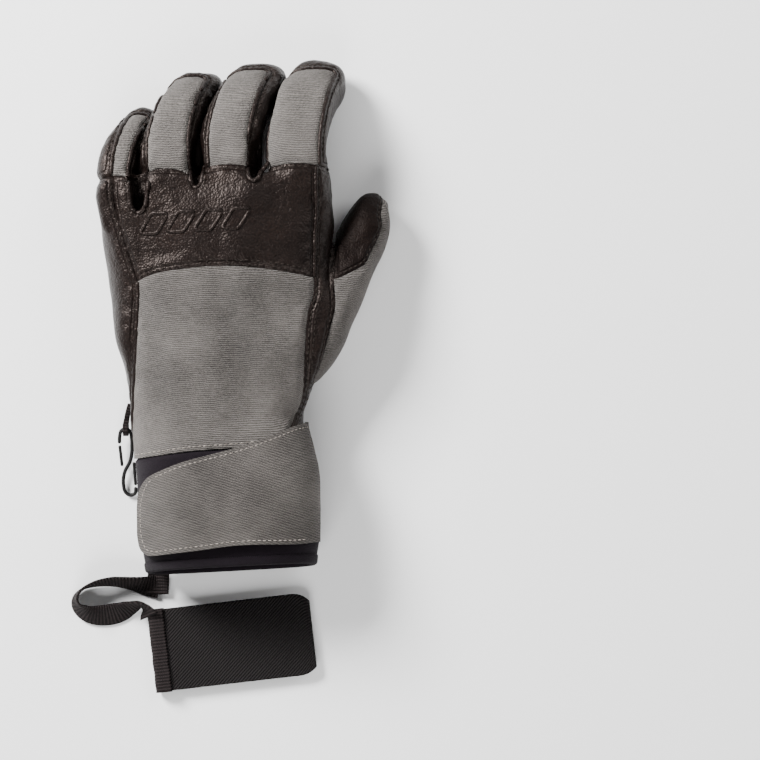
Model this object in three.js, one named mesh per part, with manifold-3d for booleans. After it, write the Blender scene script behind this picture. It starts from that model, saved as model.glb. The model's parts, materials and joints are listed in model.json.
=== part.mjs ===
// A left-hand ski glove lying palm down, with a gated accessory clip and a wrist leash.
// Millimetres. +X is the thumb side, +Y runs to the fingertips, +Z is up from the palm to the back of the hand.
import * as THREE from 'three';
import { mergeVertices } from 'three/addons/utils/BufferGeometryUtils.js';
import Module from 'manifold-3d';

// ---------------------------------------------------------------- driving dimensions

const GAP = 0.3;                    // clearance between touching pieces
const SHELL = 1.1;                  // outer fabric or leather
const INSULATION = 3.0;             // padding between the shell and the lining
const LINING = 1.0;                 // lining with its bonded membrane
const LAYERS = {
  shell: [0, SHELL],
  insulation: [SHELL + GAP, SHELL + GAP + INSULATION],
  lining: [SHELL + INSULATION + 2 * GAP, SHELL + INSULATION + LINING + 2 * GAP],
};
const CAVITY = LAYERS.lining[1];    // depth from the outside to the hand cavity
const FAR = 400;                    // longer than anything it cuts

// The origin, on the resting surface under the middle of the glove without its leash.
const ORIGIN = [-0.515, -4.26, 0];

const HAND_SIDES = 20;              // facets round the hand and the cuff
const FINGER_SIDES = 12;            // facets round a finger

// The hand from the wrist seam to beyond the knuckles: [y, left x, right x, underside z, top z].
const HAND = [
  [-63, -55, 33, 1.8, 46],
  [-48, -57, 29, 2.6, 44],
  [-36, -58, 32.5, 1, 44.5],
  [-15, -62, 41, 1, 46],
  [6, -66, 46, 1, 47.5],
  [25, -67.5, 44.5, 1, 49],
  [42, -71, 43.5, 4, 50],
  [57, -72, 43.3, 12, 49.5],
  [70, -72.4, 43.2, 18, 48.5],
  [98, -72.4, 43.2, 20, 48],
];
// The cuff from the wrist seam to the hem, in the same order, then how far its rim slants.
const CUFF = [
  [-63, -55, 33, 1.8, 46, 0],
  [-76, -53.5, 36, 1, 48.5, 0.03],
  [-92, -52.5, 36.5, 0.8, 50, 0.06],
  [-110, -51, 37.5, 0.8, 50, 0.1],
  [-125, -48.5, 36, 0.8, 49, 0.12],
];
const CUFF_MID_Z = 25;
const WRIST_SEAM_Y = -63;
const ELASTIC = { from: -52, to: -42, thickness: 1.2 };
const HEM_DEPTH = 4;                // the binding round the cuff's opening

// Fingers: centre x, half width and half thickness, knuckle hinge (y, z), fingertip y, sideways lean at the tip.
const FINGERS = {
  little: { x: -62.2, half: [10.2, 12], hinge: [71, 31.5], tip: 107, lean: 2.5 },
  ring: { x: -37.3, half: [13.8, 13.2], hinge: [81, 33], tip: 125, lean: 8.5 },
  middle: { x: -6.2, half: [15.4, 13.4], hinge: [84, 33.5], tip: 128, lean: 9.5 },
  index: { x: 27.2, half: [15.9, 13.4], hinge: [84, 33.5], tip: 129.5, lean: 10.5 },
};
const KNUCKLE_RADIUS = 15.6;        // each finger turns in the hand on a round this size
const KNUCKLE_GAP = 0.4;
const FINGER_START = 24;            // how far a finger reaches back behind its hinge before it is cut
const BACK_FABRIC_RISE = 8.5;       // the side seams run this far above a finger's middle

// Thumb: [x, y, z, half width, half thickness], from its base in the hand to its tip.
const THUMB = [
  [26, -34, 22, 5, 9],
  [30, -21, 22, 11.5, 14],
  [36, -6, 22, 13.5, 16.5],
  [45.5, 10, 21.5, 14, 16.5],
  [52.5, 26, 19.5, 13.2, 15.5],
  [57.5, 40, 16.5, 12.3, 14],
  [60.3, 49, 14.8, 11.6, 13],
  [62.4, 56.5, 13.4, 9, 10],
  [63.9, 61.5, 12.6, 4.5, 5.5],
];
const THUMB_PIVOT = [31, -38];      // the thumb spreads about a vertical line here
// Plan line where the thumb joins the hand.
const THUMB_SEAM = [[31, -38], [39.5, -20], [43.5, -3.5], [46, 7.5], [45.2, 20], [44.4, 49]];
// Plan outline of the thumb's leather pad.
const THUMB_PAD = [[38, 21], [46, 21.5], [54.5, 25], [59.5, 26.5], [63, 32], [66, 39], [69, 47], [68, 57], [70, 72], [38, 72]];

// Plan lines of the seams on the back of the hand.
const KNUCKLE_SEAM = [[-51.8, 20], [-42, 23.5], [-29, 25.5], [-13, 27], [3, 26.5], [20, 24.5], [36, 21.5]];
const ULNAR_SEAM = [[-63.5, 120], [-63.3, 60], [-59, 41], [-53.5, 24.5], [-51.8, 20], [-52.3, 4], [-54, -20], [-55, -75]];
const RADIAL_SEAM = [[36.5, 120], [36, 21.5], [35.3, 12], [32.5, 3], [31, -20], [30, -38], [24, -53], [22, -75]];
// Side view [y, z] of the seam where the leather palm, turned up the sides, meets the upper panels.
const PALM_SEAM = [[-FAR, 15], [38, 15], [62, 27], [FAR, 28]];
const PALM_PATCH = [[-52, 14], [-46, 34], [-20, 40], [12, 38], [26, 24], [22, 4], [4, -16], [-24, -30], [-46, -26], [-54, -8]];
const PALM_PATCH_THICKNESS = 1.2;

// Plan outline of the closure strap: sewn down at the thumb side, free and rounded at the other end.
const STRAP = [
  [29, -50.8], [-0.5, -61.5], [-29.5, -69.8], [-44, -76], [-50, -82.5], [-52, -91.5], [-51.5, -109.5], [-48.5, -116.5],
  [-43, -117.8], [-21.5, -115.5], [-1, -112.8], [26, -112], [39, -110], [40, -96], [40, -74], [38, -62],
];
const STRAP_THICKNESS = 1.8;
const TAPE_THICKNESS = 1;           // one half of the hook-and-loop tape
const LOOP_PATCH = { x: [-42, -8], y: [-108, -82] };
const HOOK_PATCH = { x: [-40, -14], y: [-106, -84] };
const STRAP_HINGE = [39.6, 27];     // x and z of the line that the strap peels about
const STRAP_ROOT_Z = 28;            // the strap reaches down the thumb side to here

// Clip: an S of round wire with a gate across each of its two loops, hung from a webbing tab.
const WIRE = 0.9;                   // radius of the clip's wire
const CLIP_PIVOT = [-61, -54, 6];   // where the clip's top bar lies in its tab
const CLIP_TILT = THREE.MathUtils.degToRad(7);
// The S in the clip's own plane, from the pivot.
const CLIP_CURVE = [
  [-3.3, -7.4], [-3.2, -4], [-2.4, -0.9], [-0.2, 0.1], [2, -0.9], [2.9, -4], [3, -11], [2, -16.4],
  [-0.6, -21.4], [-1.6, -26.5], [-0.9, -31.6], [1.6, -33.8], [4.4, -32.8], [4.7, -29.6],
];
const UPPER_GATE = { from: [-2.1, -19], to: [-3.2, -8.2] };
const LOWER_GATE = { from: [3.9, -16.8], to: [4.7, -28.8] };
const TAB = { half_width: 1.3, eye: 2.4, thickness: 1.2, root: [-43, 13] };

// Wrist leash: flat webbing from the hem to an elastic wristband that lies flattened below the cuff.
const WEBBING = [12, 1.5];          // width and thickness
const ANCHOR = { x: [-50, -39], y: [-138, -129.6], z: [0.6, 3.2] };
const LEASH_ROUTE = [
  [-50.4, -133.4], [-56, -133], [-62, -132], [-68, -131.2], [-73.5, -131.6], [-78.6, -133.8], [-81.6, -137.2],
  [-82, -141.2], [-79.8, -144.8], [-75.4, -147.2], [-70, -148.2], [-64, -147.8], [-58, -147], [-52.2, -147.6],
];
const LEASH_Z = 1.2;
const BAND = { corner: [-48.9, -146.2], turn: 6.6, length: 81, height: 41.5, wall: 1.3, inside: 1.2, z: 1.9 };
const BINDING = { width: 9, thickness: 1.2 };

// ---------------------------------------------------------------- solids

const wasm = await Module();
wasm.setup();

const AHEAD = new THREE.Vector3(0, 1, 0);
const RIGHT = new THREE.Vector3(1, 0, 0);
const UP = new THREE.Vector3(0, 0, 1);

/** A closed three.js geometry as a solid that can be cut and joined. */
function solid(geometry) {
  const bare = geometry.index ? geometry.toNonIndexed() : geometry.clone();
  for (const name of Object.keys(bare.attributes)) {
    if (name !== 'position') bare.deleteAttribute(name);
  }
  const merged = mergeVertices(bare, 1e-4);
  return new wasm.Manifold(new wasm.Mesh({
    numProp: 3,
    vertProperties: new Float32Array(merged.attributes.position.array),
    triVerts: new Uint32Array(merged.index.array),
  }));
}

/** A solid as a three.js geometry again. */
function geometryOf(body) {
  const { vertProperties, triVerts } = body.getMesh();
  const geometry = new THREE.BufferGeometry();
  geometry.setAttribute('position', new THREE.BufferAttribute(vertProperties, 3));
  geometry.setIndex(new THREE.BufferAttribute(triVerts, 1));
  geometry.computeVertexNormals();
  return geometry;
}

/** A superellipse's coordinate for a unit circle's, square-cornered as the power grows. */
const squared = (value, power) => Math.sign(value) * Math.abs(value) ** (2 / power);

/** A round column, 2 across and 1 tall, with one ring of points for each station of a loft. */
const column = (sides, rings) => new THREE.CylinderGeometry(1, 1, 1, sides, rings - 1);

/** A square column of the same size. */
const squareColumn = (rings) => new THREE.BoxGeometry(2, 1, 2, 1, rings - 1, 1);

/**
 * A closed body through stations: a column whose rings are laid on the stations one after another.
 * Each station has centre, side and up vectors, half sizes and the powers of its upper and lower halves.
 */
function loft(stations, geometry) {
  const position = geometry.attributes.position;
  const point = new THREE.Vector3();
  for (let i = 0; i < position.count; i += 1) {
    const station = stations[Math.round((0.5 - position.getY(i)) * (stations.length - 1))];
    const up = -position.getZ(i);
    const power = up < 0 ? station.lower : station.upper;
    point.copy(station.centre)
      .addScaledVector(station.side, station.half[0] * squared(position.getX(i), power))
      .addScaledVector(station.up, station.half[1] * squared(up, power));
    point.y += station.slant * (point.z - CUFF_MID_Z);
    position.setXYZ(i, point.x, point.y, point.z);
  }
  return solid(geometry);
}

/** An outline in plan, raised from z0 to z1. */
function prism(outline, z0 = -FAR, z1 = FAR) {
  const shape = new THREE.Shape(outline.map(([x, y]) => new THREE.Vector2(x, y)));
  const geometry = new THREE.ExtrudeGeometry(shape, { depth: z1 - z0, bevelEnabled: false });
  return solid(geometry.translate(0, 0, z0));
}

/** An outline in side view, points [y, z], carried right across the glove. */
function acrossAll(outline) {
  const shape = new THREE.Shape(outline.map(([y, z]) => new THREE.Vector2(y, z)));
  const geometry = new THREE.ExtrudeGeometry(shape, { depth: 2 * FAR, bevelEnabled: false });
  const turned = geometry.translate(0, 0, -FAR).applyMatrix4(new THREE.Matrix4().makeBasis(AHEAD, UP, RIGHT));
  return solid(turned);
}

/** An axis-aligned block between two corners. */
function block(low, high) {
  const size = high.map((value, i) => value - low[i]);
  const geometry = new THREE.BoxGeometry(...size);
  return solid(geometry.translate(...low.map((value, i) => value + size[i] / 2)));
}

/** A round bar along X through a point of the YZ plane. */
function barAlongX(x0, x1, [y, z], radius, sides = 32) {
  const geometry = new THREE.CylinderGeometry(radius, radius, x1 - x0, sides);
  return solid(geometry.rotateZ(Math.PI / 2).translate((x0 + x1) / 2, y, z));
}

/** The thin upright slot that separates two panels along a seam drawn in plan. */
function seamSlot(line) {
  const points = line.map(([x, y]) => new THREE.Vector2(x, y));
  const sideways = points.map((point, i) => {
    const along = points[Math.min(i + 1, points.length - 1)].clone().sub(points[Math.max(i - 1, 0)]);
    return new THREE.Vector2(-along.y, along.x).setLength(GAP / 2);
  });
  const left = points.map((point, i) => point.clone().add(sideways[i]));
  const right = points.map((point, i) => point.clone().sub(sideways[i]));
  return prism([...left, ...right.reverse()].map((point) => [point.x, point.y]));
}

/** A round or flat section swept along a smooth curve, closed at both ends. */
function sweep(section, points, steps) {
  const path = new THREE.CatmullRomCurve3(points.map((point) => new THREE.Vector3(...point)));
  return new THREE.ExtrudeGeometry(section, { steps, bevelEnabled: false, extrudePath: path });
}

/** A regular polygon as a section. */
function roundSection(radius, sides = 8) {
  const corner = (i) => new THREE.Vector2(
    radius * Math.cos((2 * Math.PI * i) / sides),
    radius * Math.sin((2 * Math.PI * i) / sides),
  );
  return new THREE.Shape(Array.from({ length: sides }, (_, i) => corner(i)));
}

/** The hand or the cuff, taken in by a depth from its outside. */
function trunk(table, depth) {
  const ordered = [...table].sort((a, b) => a[0] - b[0]);
  return loft(ordered.map(([y, x0, x1, z0, z1, slant = 0]) => ({
    centre: new THREE.Vector3((x0 + x1) / 2, y, (z0 + z1) / 2),
    side: RIGHT,
    up: UP,
    half: [(x1 - x0) / 2 - depth, (z1 - z0) / 2 - depth],
    upper: 2.6,
    lower: 3.6,
    slant,
  })), column(HAND_SIDES, ordered.length));
}

/** The space of a finger, taken in by a depth: it runs forward from the hand, curls down and ends in a round tip. */
function fingerForm(finger, depth) {
  const [halfWidth, halfThickness] = finger.half;
  const [hingeY, hingeZ] = finger.hinge;
  const reach = finger.tip - halfThickness - hingeY;
  const tipCentre = [hingeY + reach, halfThickness + GAP];
  const drop = hingeZ - tipCentre[1];
  const path = new THREE.CatmullRomCurve3([
    new THREE.Vector3(0, hingeY - FINGER_START, hingeZ + 1),
    new THREE.Vector3(0, hingeY, hingeZ),
    new THREE.Vector3(0, hingeY + 0.6 * reach, hingeZ - 0.32 * drop),
    new THREE.Vector3(0, ...tipCentre),
    new THREE.Vector3(0, tipCentre[0] + 0.55 * halfThickness, tipCentre[1] - 0.83 * halfThickness),
  ]);
  const length = path.getLength() - depth;
  const round = halfThickness - depth;
  const tipParts = [1, 0.6, 0.28, 0.04];
  const straightParts = [0, 0.3, 0.52, 0.7, 0.86];
  const places = [
    ...straightParts.map((part) => part * (length - round)),
    ...tipParts.map((part) => length - round * part),
  ];
  return loft(places.map((place) => {
    const part = place / path.getLength();
    const tangent = path.getTangentAt(part);
    const centre = path.getPointAt(part);
    const beyond = Math.max(0, centre.y - hingeY) / reach;
    const fromTip = Math.min(1, (length - place) / round);
    const taper = Math.sqrt(1 - (1 - fromTip) ** 2);
    centre.x = finger.x + finger.lean * beyond ** 2;
    return {
      centre,
      side: RIGHT,
      up: new THREE.Vector3().crossVectors(RIGHT, tangent),
      half: [(halfWidth - depth) * taper, (halfThickness - depth) * taper],
      upper: 2.8,
      lower: 2.8,
      slant: 0,
    };
  }), column(FINGER_SIDES, places.length));
}

/** Everything on the dorsal side of a finger's side seams. */
function dorsalTool(finger, rise) {
  const tall = 40;
  const [hingeY, hingeZ] = finger.hinge;
  const reach = finger.tip - finger.half[1] - hingeY;
  const drop = hingeZ - finger.half[1] - GAP;
  const path = new THREE.CatmullRomCurve3([
    new THREE.Vector3(0, hingeY - FINGER_START - 5, hingeZ + 1.2),
    new THREE.Vector3(0, hingeY, hingeZ),
    new THREE.Vector3(0, hingeY + 0.6 * reach, hingeZ - 0.32 * drop),
    new THREE.Vector3(0, hingeY + reach, finger.half[1] + GAP),
    new THREE.Vector3(0, hingeY + reach + 22, finger.half[1] + GAP - 33),
  ]);
  const count = 9;
  return loft(Array.from({ length: count }, (_, i) => {
    const tangent = path.getTangentAt(i / (count - 1));
    const up = new THREE.Vector3().crossVectors(RIGHT, tangent);
    const centre = path.getPointAt(i / (count - 1)).addScaledVector(up, rise + tall / 2);
    centre.x = finger.x;
    return { centre, side: RIGHT, up, half: [60, tall / 2], upper: 2, lower: 2, slant: 0 };
  }), squareColumn(count));
}

/** What a finger may fill: the space ahead of its hinge and the round about the hinge. */
function fingerSpace(finger, extra) {
  const x0 = finger.x - 45;
  const x1 = finger.x + 45;
  const ahead = block([x0, finger.hinge[0], -FAR], [x1, FAR, FAR]);
  return ahead.add(barAlongX(x0, x1, finger.hinge, KNUCKLE_RADIUS + extra));
}

/** The slab of the hand that gives way to a finger, half a gap wider than the finger on each side. */
function knuckleCut(finger, x0, x1) {
  return fingerSpace(finger, KNUCKLE_GAP).intersect(block([x0, -FAR, -FAR], [x1, FAR, FAR]));
}

/** The thumb, taken in by a depth. */
function thumbForm(depth) {
  const centres = THUMB.map(([x, y, z]) => new THREE.Vector3(x, y, z));
  return loft(THUMB.map(([, , , width, thickness], i) => {
    const before = centres[Math.max(i - 1, 0)];
    const after = centres[Math.min(i + 1, centres.length - 1)];
    const tangent = after.clone().sub(before).normalize();
    const side = new THREE.Vector3().crossVectors(tangent, UP).normalize();
    const ends = i === 0 || i === THUMB.length - 1;
    return {
      centre: centres[i].clone().addScaledVector(tangent, ends ? (i === 0 ? depth : -depth) : 0),
      side,
      up: new THREE.Vector3().crossVectors(side, tangent),
      half: [Math.max(width - depth, 1), Math.max(thickness - depth, 1)],
      upper: 2.4,
      lower: 2.4,
      slant: 0,
    };
  }), column(FINGER_SIDES + 2, THUMB.length));
}

/** The plan region on the thumb's side of its seam, moved out by a distance along X. */
function thumbSide(shift) {
  const line = THUMB_SEAM.map(([x, y]) => [x + shift, y]);
  const [startX, startY] = line[0];
  const [endX, endY] = line[line.length - 1];
  return prism([[startX - 3, startY - 60], ...line, [endX, endY + 80], [FAR, endY + 80], [FAR, startY - 60]]);
}

// ---------------------------------------------------------------- sub-parts

const glove = new THREE.Group();
glove.position.set(...ORIGIN.map((value) => -value));

/** Adds one named piece with a material of its own. */
function add(name, body, [color, roughness, metalness = 0], parent = glove) {
  const geometry = body instanceof THREE.BufferGeometry ? body : geometryOf(body);
  const mesh = new THREE.Mesh(geometry, new THREE.MeshStandardMaterial({ color, roughness, metalness }));
  mesh.name = name;
  parent.add(mesh);
  return mesh;
}

const GREY_FABRIC = ['#8a8780', 0.9];
const LEATHER = ['#1e1a1a', 0.5];
const SOFTSHELL = ['#2d2a32', 0.85];
const WADDING = ['#d9d6cc', 1];
const FLEECE = ['#3a1f1c', 1];
const ELASTIC_WEB = ['#2c2828', 0.8];
const HOOK_TAPE = ['#151414', 0.9];
const PLASTIC = ['#101010', 0.4];

/** One layer of the hand or cuff. */
function layer(form, [outer, inner]) {
  return form(outer).subtract(form(inner));
}

function addHand() {
  const order = Object.values(FINGERS);
  const edges = order.slice(1).map((finger, i) => {
    const before = order[i];
    return (before.x + before.half[0] + finger.x - finger.half[0]) / 2;
  });
  const cuts = order.map((finger, i) => knuckleCut(
    finger,
    i === 0 ? -FAR : edges[i - 1] - 0.01,
    i === order.length - 1 ? FAR : edges[i] + 0.01,
  ));
  const fingersAway = cuts.reduce((all, cut) => all.add(cut));
  const away = fingersAway.add(thumbSide(-GAP / 2)).add(thumbForm(CAVITY));
  const form = (depth) => trunk([...HAND, [-70, ...HAND[0].slice(1)]], depth);
  const behindWrist = block([-FAR, -FAR, -FAR], [FAR, WRIST_SEAM_Y + GAP / 2, FAR]);
  const piece = (range) => layer(form, range).subtract(away).subtract(behindWrist);

  const shell = piece(LAYERS.shell);
  const underPalmSeam = (rise) => acrossAll([
    [-FAR, -FAR], [FAR, -FAR], ...PALM_SEAM.map(([y, z]) => [y, z + rise]).reverse(),
  ]);
  const palmBlock = underPalmSeam(-GAP / 2);
  const palmAndSeam = underPalmSeam(GAP / 2);
  const upper = shell.subtract(palmAndSeam)
    .subtract(seamSlot(ULNAR_SEAM)).subtract(seamSlot(RADIAL_SEAM));
  const ulnarSide = prism([...ULNAR_SEAM, [-FAR, -75], [-FAR, 120]]);
  const radialSide = prism([...RADIAL_SEAM, [FAR, -75], [FAR, 120]]);
  const aheadOfKnuckleSeam = prism([[-FAR, 20], ...KNUCKLE_SEAM, [FAR, 21.5], [FAR, 120], [-FAR, 120]]);
  const middle = upper.subtract(ulnarSide).subtract(radialSide).subtract(seamSlot(KNUCKLE_SEAM));

  add('back_panel', middle.subtract(aheadOfKnuckleSeam), GREY_FABRIC);
  add('knuckle_panel', middle.intersect(aheadOfKnuckleSeam), LEATHER);
  add('ulnar_side_panel', upper.intersect(ulnarSide), LEATHER);
  add('radial_side_panel', upper.intersect(radialSide), LEATHER);
  add('palm_panel', shell.intersect(palmBlock), LEATHER);

  const patch = layer(form, [-GAP - PALM_PATCH_THICKNESS, -GAP])
    .intersect(prism(PALM_PATCH, 0, PALM_SEAM[0][1]));
  add('palm_patch', patch, LEATHER);

  const [, insideWadding] = LAYERS.insulation;
  const elasticDepth = insideWadding - ELASTIC.thickness;
  const bandOf = (extra) => block([-FAR, ELASTIC.from - extra, -FAR], [FAR, ELASTIC.to + extra, FAR]);
  const recess = form(elasticDepth - GAP).intersect(bandOf(GAP));
  add('hand_insulation', piece(LAYERS.insulation).subtract(recess), WADDING);
  add('hand_lining', piece(LAYERS.lining), FLEECE);
  add('wrist_elastic', layer(form, [elasticDepth, insideWadding]).intersect(bandOf(0)), ELASTIC_WEB);
}

function addCuff() {
  const form = (depth) => trunk(CUFF.map((row, i) => (i === 0 ? [WRIST_SEAM_Y - GAP / 2, ...row.slice(1)] : row)), depth);
  const open = (depth) => trunk([[-40, ...CUFF[0].slice(1)], ...CUFF, [-170, ...CUFF.at(-1).slice(1)]], depth);
  const rimAt = (y) => {
    const geometry = new THREE.BoxGeometry(FAR, FAR, FAR).translate(0, -FAR / 2, 0);
    const slant = CUFF.at(-1)[5];
    return solid(geometry.rotateX(-Math.atan(slant)).translate(0, y, CUFF_MID_Z));
  };
  const hemLine = CUFF.at(-1)[0] + HEM_DEPTH;
  const lining = [SHELL + GAP, SHELL + GAP + 1.6];
  add('cuff_shell', form(0).subtract(open(SHELL)).subtract(rimAt(hemLine)), SOFTSHELL);
  add('cuff_lining', form(lining[0]).subtract(open(lining[1])).subtract(rimAt(hemLine)), FLEECE);
  const hem = form(0).subtract(open(lining[1])).intersect(rimAt(hemLine - GAP));
  add('hem_binding', hem, LEATHER);

  const over = (depth, thickness, { x, y }) => open(-depth - thickness).subtract(open(-depth))
    .intersect(block([x[0], y[0], CUFF_MID_Z], [x[1], y[1], FAR]));
  add('loop_patch', over(GAP, TAPE_THICKNESS, LOOP_PATCH), HOOK_TAPE);
  const hookRise = 2 * GAP + TAPE_THICKNESS;
  const strapRise = hookRise + TAPE_THICKNESS + GAP;
  const strapBody = open(-strapRise - STRAP_THICKNESS).subtract(open(-strapRise))
    .intersect(prism(STRAP, STRAP_ROOT_Z, FAR));
  add('closure_strap', strapBody, GREY_FABRIC);
  add('hook_patch', over(hookRise, TAPE_THICKNESS, HOOK_PATCH), HOOK_TAPE);
}

function addFingers() {
  for (const [name, finger] of Object.entries(FINGERS)) {
    const space = fingerSpace(finger, 0);
    const form = (depth) => fingerForm(finger, depth);
    const shell = layer(form, LAYERS.shell).intersect(space);
    add(`${name}_back`, shell.intersect(dorsalTool(finger, BACK_FABRIC_RISE + GAP / 2)), GREY_FABRIC);
    add(`${name}_leather`, shell.subtract(dorsalTool(finger, BACK_FABRIC_RISE - GAP / 2)), LEATHER);
    add(`${name}_insulation`, layer(form, LAYERS.insulation).intersect(space), WADDING);
    add(`${name}_lining`, layer(form, LAYERS.lining).intersect(space), FLEECE);
  }
}

function addThumb() {
  const side = thumbSide(GAP / 2);
  const shell = layer(thumbForm, LAYERS.shell).intersect(side);
  const pad = prism(THUMB_PAD);
  const padAndSeam = pad.add(seamSlot(THUMB_PAD.slice(0, -1)));
  add('thumb_back', shell.subtract(padAndSeam), GREY_FABRIC);
  add('thumb_pad', shell.intersect(pad), LEATHER);
  add('thumb_insulation', layer(thumbForm, LAYERS.insulation).intersect(side), WADDING);
  add('thumb_lining', layer(thumbForm, LAYERS.lining).intersect(side), FLEECE);
}

function addClip() {
  const [pivotX, pivotY, pivotZ] = CLIP_PIVOT;
  const frame = new THREE.Group();
  frame.position.set(pivotX, pivotY, pivotZ);
  frame.rotation.x = CLIP_TILT;
  glove.add(frame);
  add('clip_frame', sweep(roundSection(WIRE, 6), CLIP_CURVE.map(([x, y]) => [x, y, 0]), 30), PLASTIC, frame);
  for (const [name, { from, to }] of Object.entries({ upper_gate: UPPER_GATE, lower_gate: LOWER_GATE })) {
    const along = new THREE.Vector2(to[0] - from[0], to[1] - from[1]);
    const gate = new THREE.CapsuleGeometry(WIRE * 0.85, along.length() - 1.5 * WIRE, 3, 8);
    gate.rotateZ(along.angle() - Math.PI / 2);
    gate.translate((from[0] + to[0]) / 2, (from[1] + to[1]) / 2, 0);
    add(name, solid(gate), PLASTIC, frame);
  }

  const { half_width: halfWidth, eye, thickness, root } = TAB;
  const [rootY, rootZ] = root;
  const loop = barAlongX(pivotX - halfWidth, pivotX + halfWidth, [pivotY, pivotZ], eye + thickness, 16);
  const length = Math.hypot(rootY - pivotY, rootZ - pivotZ) + 4;
  const tail = new THREE.BoxGeometry(2 * halfWidth + 6, length, 2 * thickness).translate(3, length / 2, 0);
  tail.rotateX(Math.atan2(rootZ - pivotZ, rootY - pivotY)).translate(pivotX, pivotY, pivotZ);
  const opening = barAlongX(-FAR, FAR, [pivotY, pivotZ], eye, 16);
  const inTheGlove = trunk([...HAND, [-75, ...HAND[0].slice(1)]], -GAP);
  add('clip_tab', loop.add(solid(tail)).subtract(opening).subtract(inTheGlove), ELASTIC_WEB);
}

function addLeash() {
  const { x, y, z } = ANCHOR;
  add('leash_anchor', block([x[0], y[0], z[0]], [x[1], y[1], z[1]]), ELASTIC_WEB);
  const [width, thickness] = WEBBING;
  const section = new THREE.Shape([
    [-thickness / 2, -width / 2 + 0.4], [-thickness / 4, -width / 2], [thickness / 4, -width / 2],
    [thickness / 2, -width / 2 + 0.4], [thickness / 2, width / 2 - 0.4], [thickness / 4, width / 2],
    [-thickness / 4, width / 2], [-thickness / 2, width / 2 - 0.4],
  ].map(([px, py]) => new THREE.Vector2(px, py)));
  add('leash_tape', sweep(section, LEASH_ROUTE.map(([px, py]) => [px, py, LEASH_Z]), 24), ELASTIC_WEB);

  const band = new THREE.Group();
  band.position.set(...BAND.corner, 0);
  band.rotation.z = THREE.MathUtils.degToRad(BAND.turn);
  glove.add(band);
  const total = 2 * BAND.wall + BAND.inside;
  const flattened = (inset) => {
    const radius = total / 2 - inset;
    const shape = new THREE.Shape();
    shape.moveTo(total / 2, inset);
    shape.lineTo(BAND.length - total / 2, inset);
    shape.absarc(BAND.length - total / 2, total / 2, radius, -Math.PI / 2, Math.PI / 2);
    shape.lineTo(total / 2, total - inset);
    shape.absarc(total / 2, total / 2, radius, Math.PI / 2, (3 * Math.PI) / 2);
    return shape;
  };
  const loop = flattened(0);
  loop.holes.push(flattened(BAND.wall));
  const ring = new THREE.ExtrudeGeometry(loop, { depth: BAND.height, bevelEnabled: false, curveSegments: 5 });
  ring.rotateX(Math.PI / 2).translate(0, 0, BAND.z);
  add('wristband', solid(ring), ELASTIC_WEB, band);
  const { width: bindingWidth, thickness: bindingThickness } = BINDING;
  const low = BAND.z - GAP;
  const high = BAND.z + total + GAP;
  const wrap = block(
    [-GAP - bindingThickness, -BAND.height, low - bindingThickness],
    [bindingWidth, 0, high + bindingThickness],
  ).subtract(block([-GAP, -FAR, low], [FAR, FAR, high]));
  add('wristband_binding', wrap, ELASTIC_WEB, band);
}

addHand();
addCuff();
addFingers();
addThumb();
addClip();
addLeash();

export default glove;
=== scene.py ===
"""A left-hand ski glove with an accessory clip and a wrist leash, lying palm down on a pale floor."""
import json
import math

import bpy
import numpy as np
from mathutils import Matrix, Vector, noise
from mathutils.bvhtree import BVHTree
from mathutils.kdtree import KDTree


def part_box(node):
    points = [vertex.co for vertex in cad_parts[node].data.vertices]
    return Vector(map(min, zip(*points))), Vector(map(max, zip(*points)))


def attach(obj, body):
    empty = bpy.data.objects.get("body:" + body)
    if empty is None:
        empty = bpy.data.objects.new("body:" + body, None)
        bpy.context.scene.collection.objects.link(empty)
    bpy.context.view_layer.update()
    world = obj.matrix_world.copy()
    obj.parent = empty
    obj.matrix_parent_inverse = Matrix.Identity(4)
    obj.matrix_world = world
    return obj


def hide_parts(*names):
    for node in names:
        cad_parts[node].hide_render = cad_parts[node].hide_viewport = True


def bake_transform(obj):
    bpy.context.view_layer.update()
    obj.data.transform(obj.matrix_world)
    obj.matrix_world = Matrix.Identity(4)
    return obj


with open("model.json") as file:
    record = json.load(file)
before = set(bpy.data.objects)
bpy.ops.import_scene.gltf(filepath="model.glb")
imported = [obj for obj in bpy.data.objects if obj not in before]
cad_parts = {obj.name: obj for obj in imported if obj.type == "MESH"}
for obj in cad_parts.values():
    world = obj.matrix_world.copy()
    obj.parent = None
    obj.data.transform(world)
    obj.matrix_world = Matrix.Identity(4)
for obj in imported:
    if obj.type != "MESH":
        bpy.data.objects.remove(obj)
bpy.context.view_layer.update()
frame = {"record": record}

MM = 0.001
JOINTS = {joint["name"]: joint for joint in frame["record"]["behaviour"]["joints"]}

# The glove is drawn in millimetres about a point near the middle of its palm. The index finger's hinge ties
# the drawing to the frame.
SHIFT = np.array(JOINTS["index_flex"]["pos_m"]) / MM - [27.2, 84, 33.5]


def hinge(name):
    """A joint's drawn place."""
    return np.array(JOINTS[name]["pos_m"]) / MM - SHIFT


def in_frame(points):
    """Drawn millimetres to the frame's metres."""
    return (np.asarray(points, float) + SHIFT) * MM


# ---------------- dimensions, in drawn millimetres

# The hand: [y, left x, right x, underside z, top z].
HAND = [
    [-76, -54.5, 35, 1.8, 47],
    [-63, -55, 33, 1.8, 46],
    [-48, -57, 29, 2.6, 44],
    [-36, -58, 32.5, 1, 44.5],
    [-15, -62, 41, 1, 46],
    [6, -66, 46, 1, 47.5],
    [25, -67.5, 44.5, 1, 49],
    [42, -71, 43.5, 4, 50],
    [57, -72, 43.3, 12, 49.5],
    [66, -72.2, 43.2, 17, 48.8],
    [72, -72.2, 43.2, 19, 48.2],
]
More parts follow.
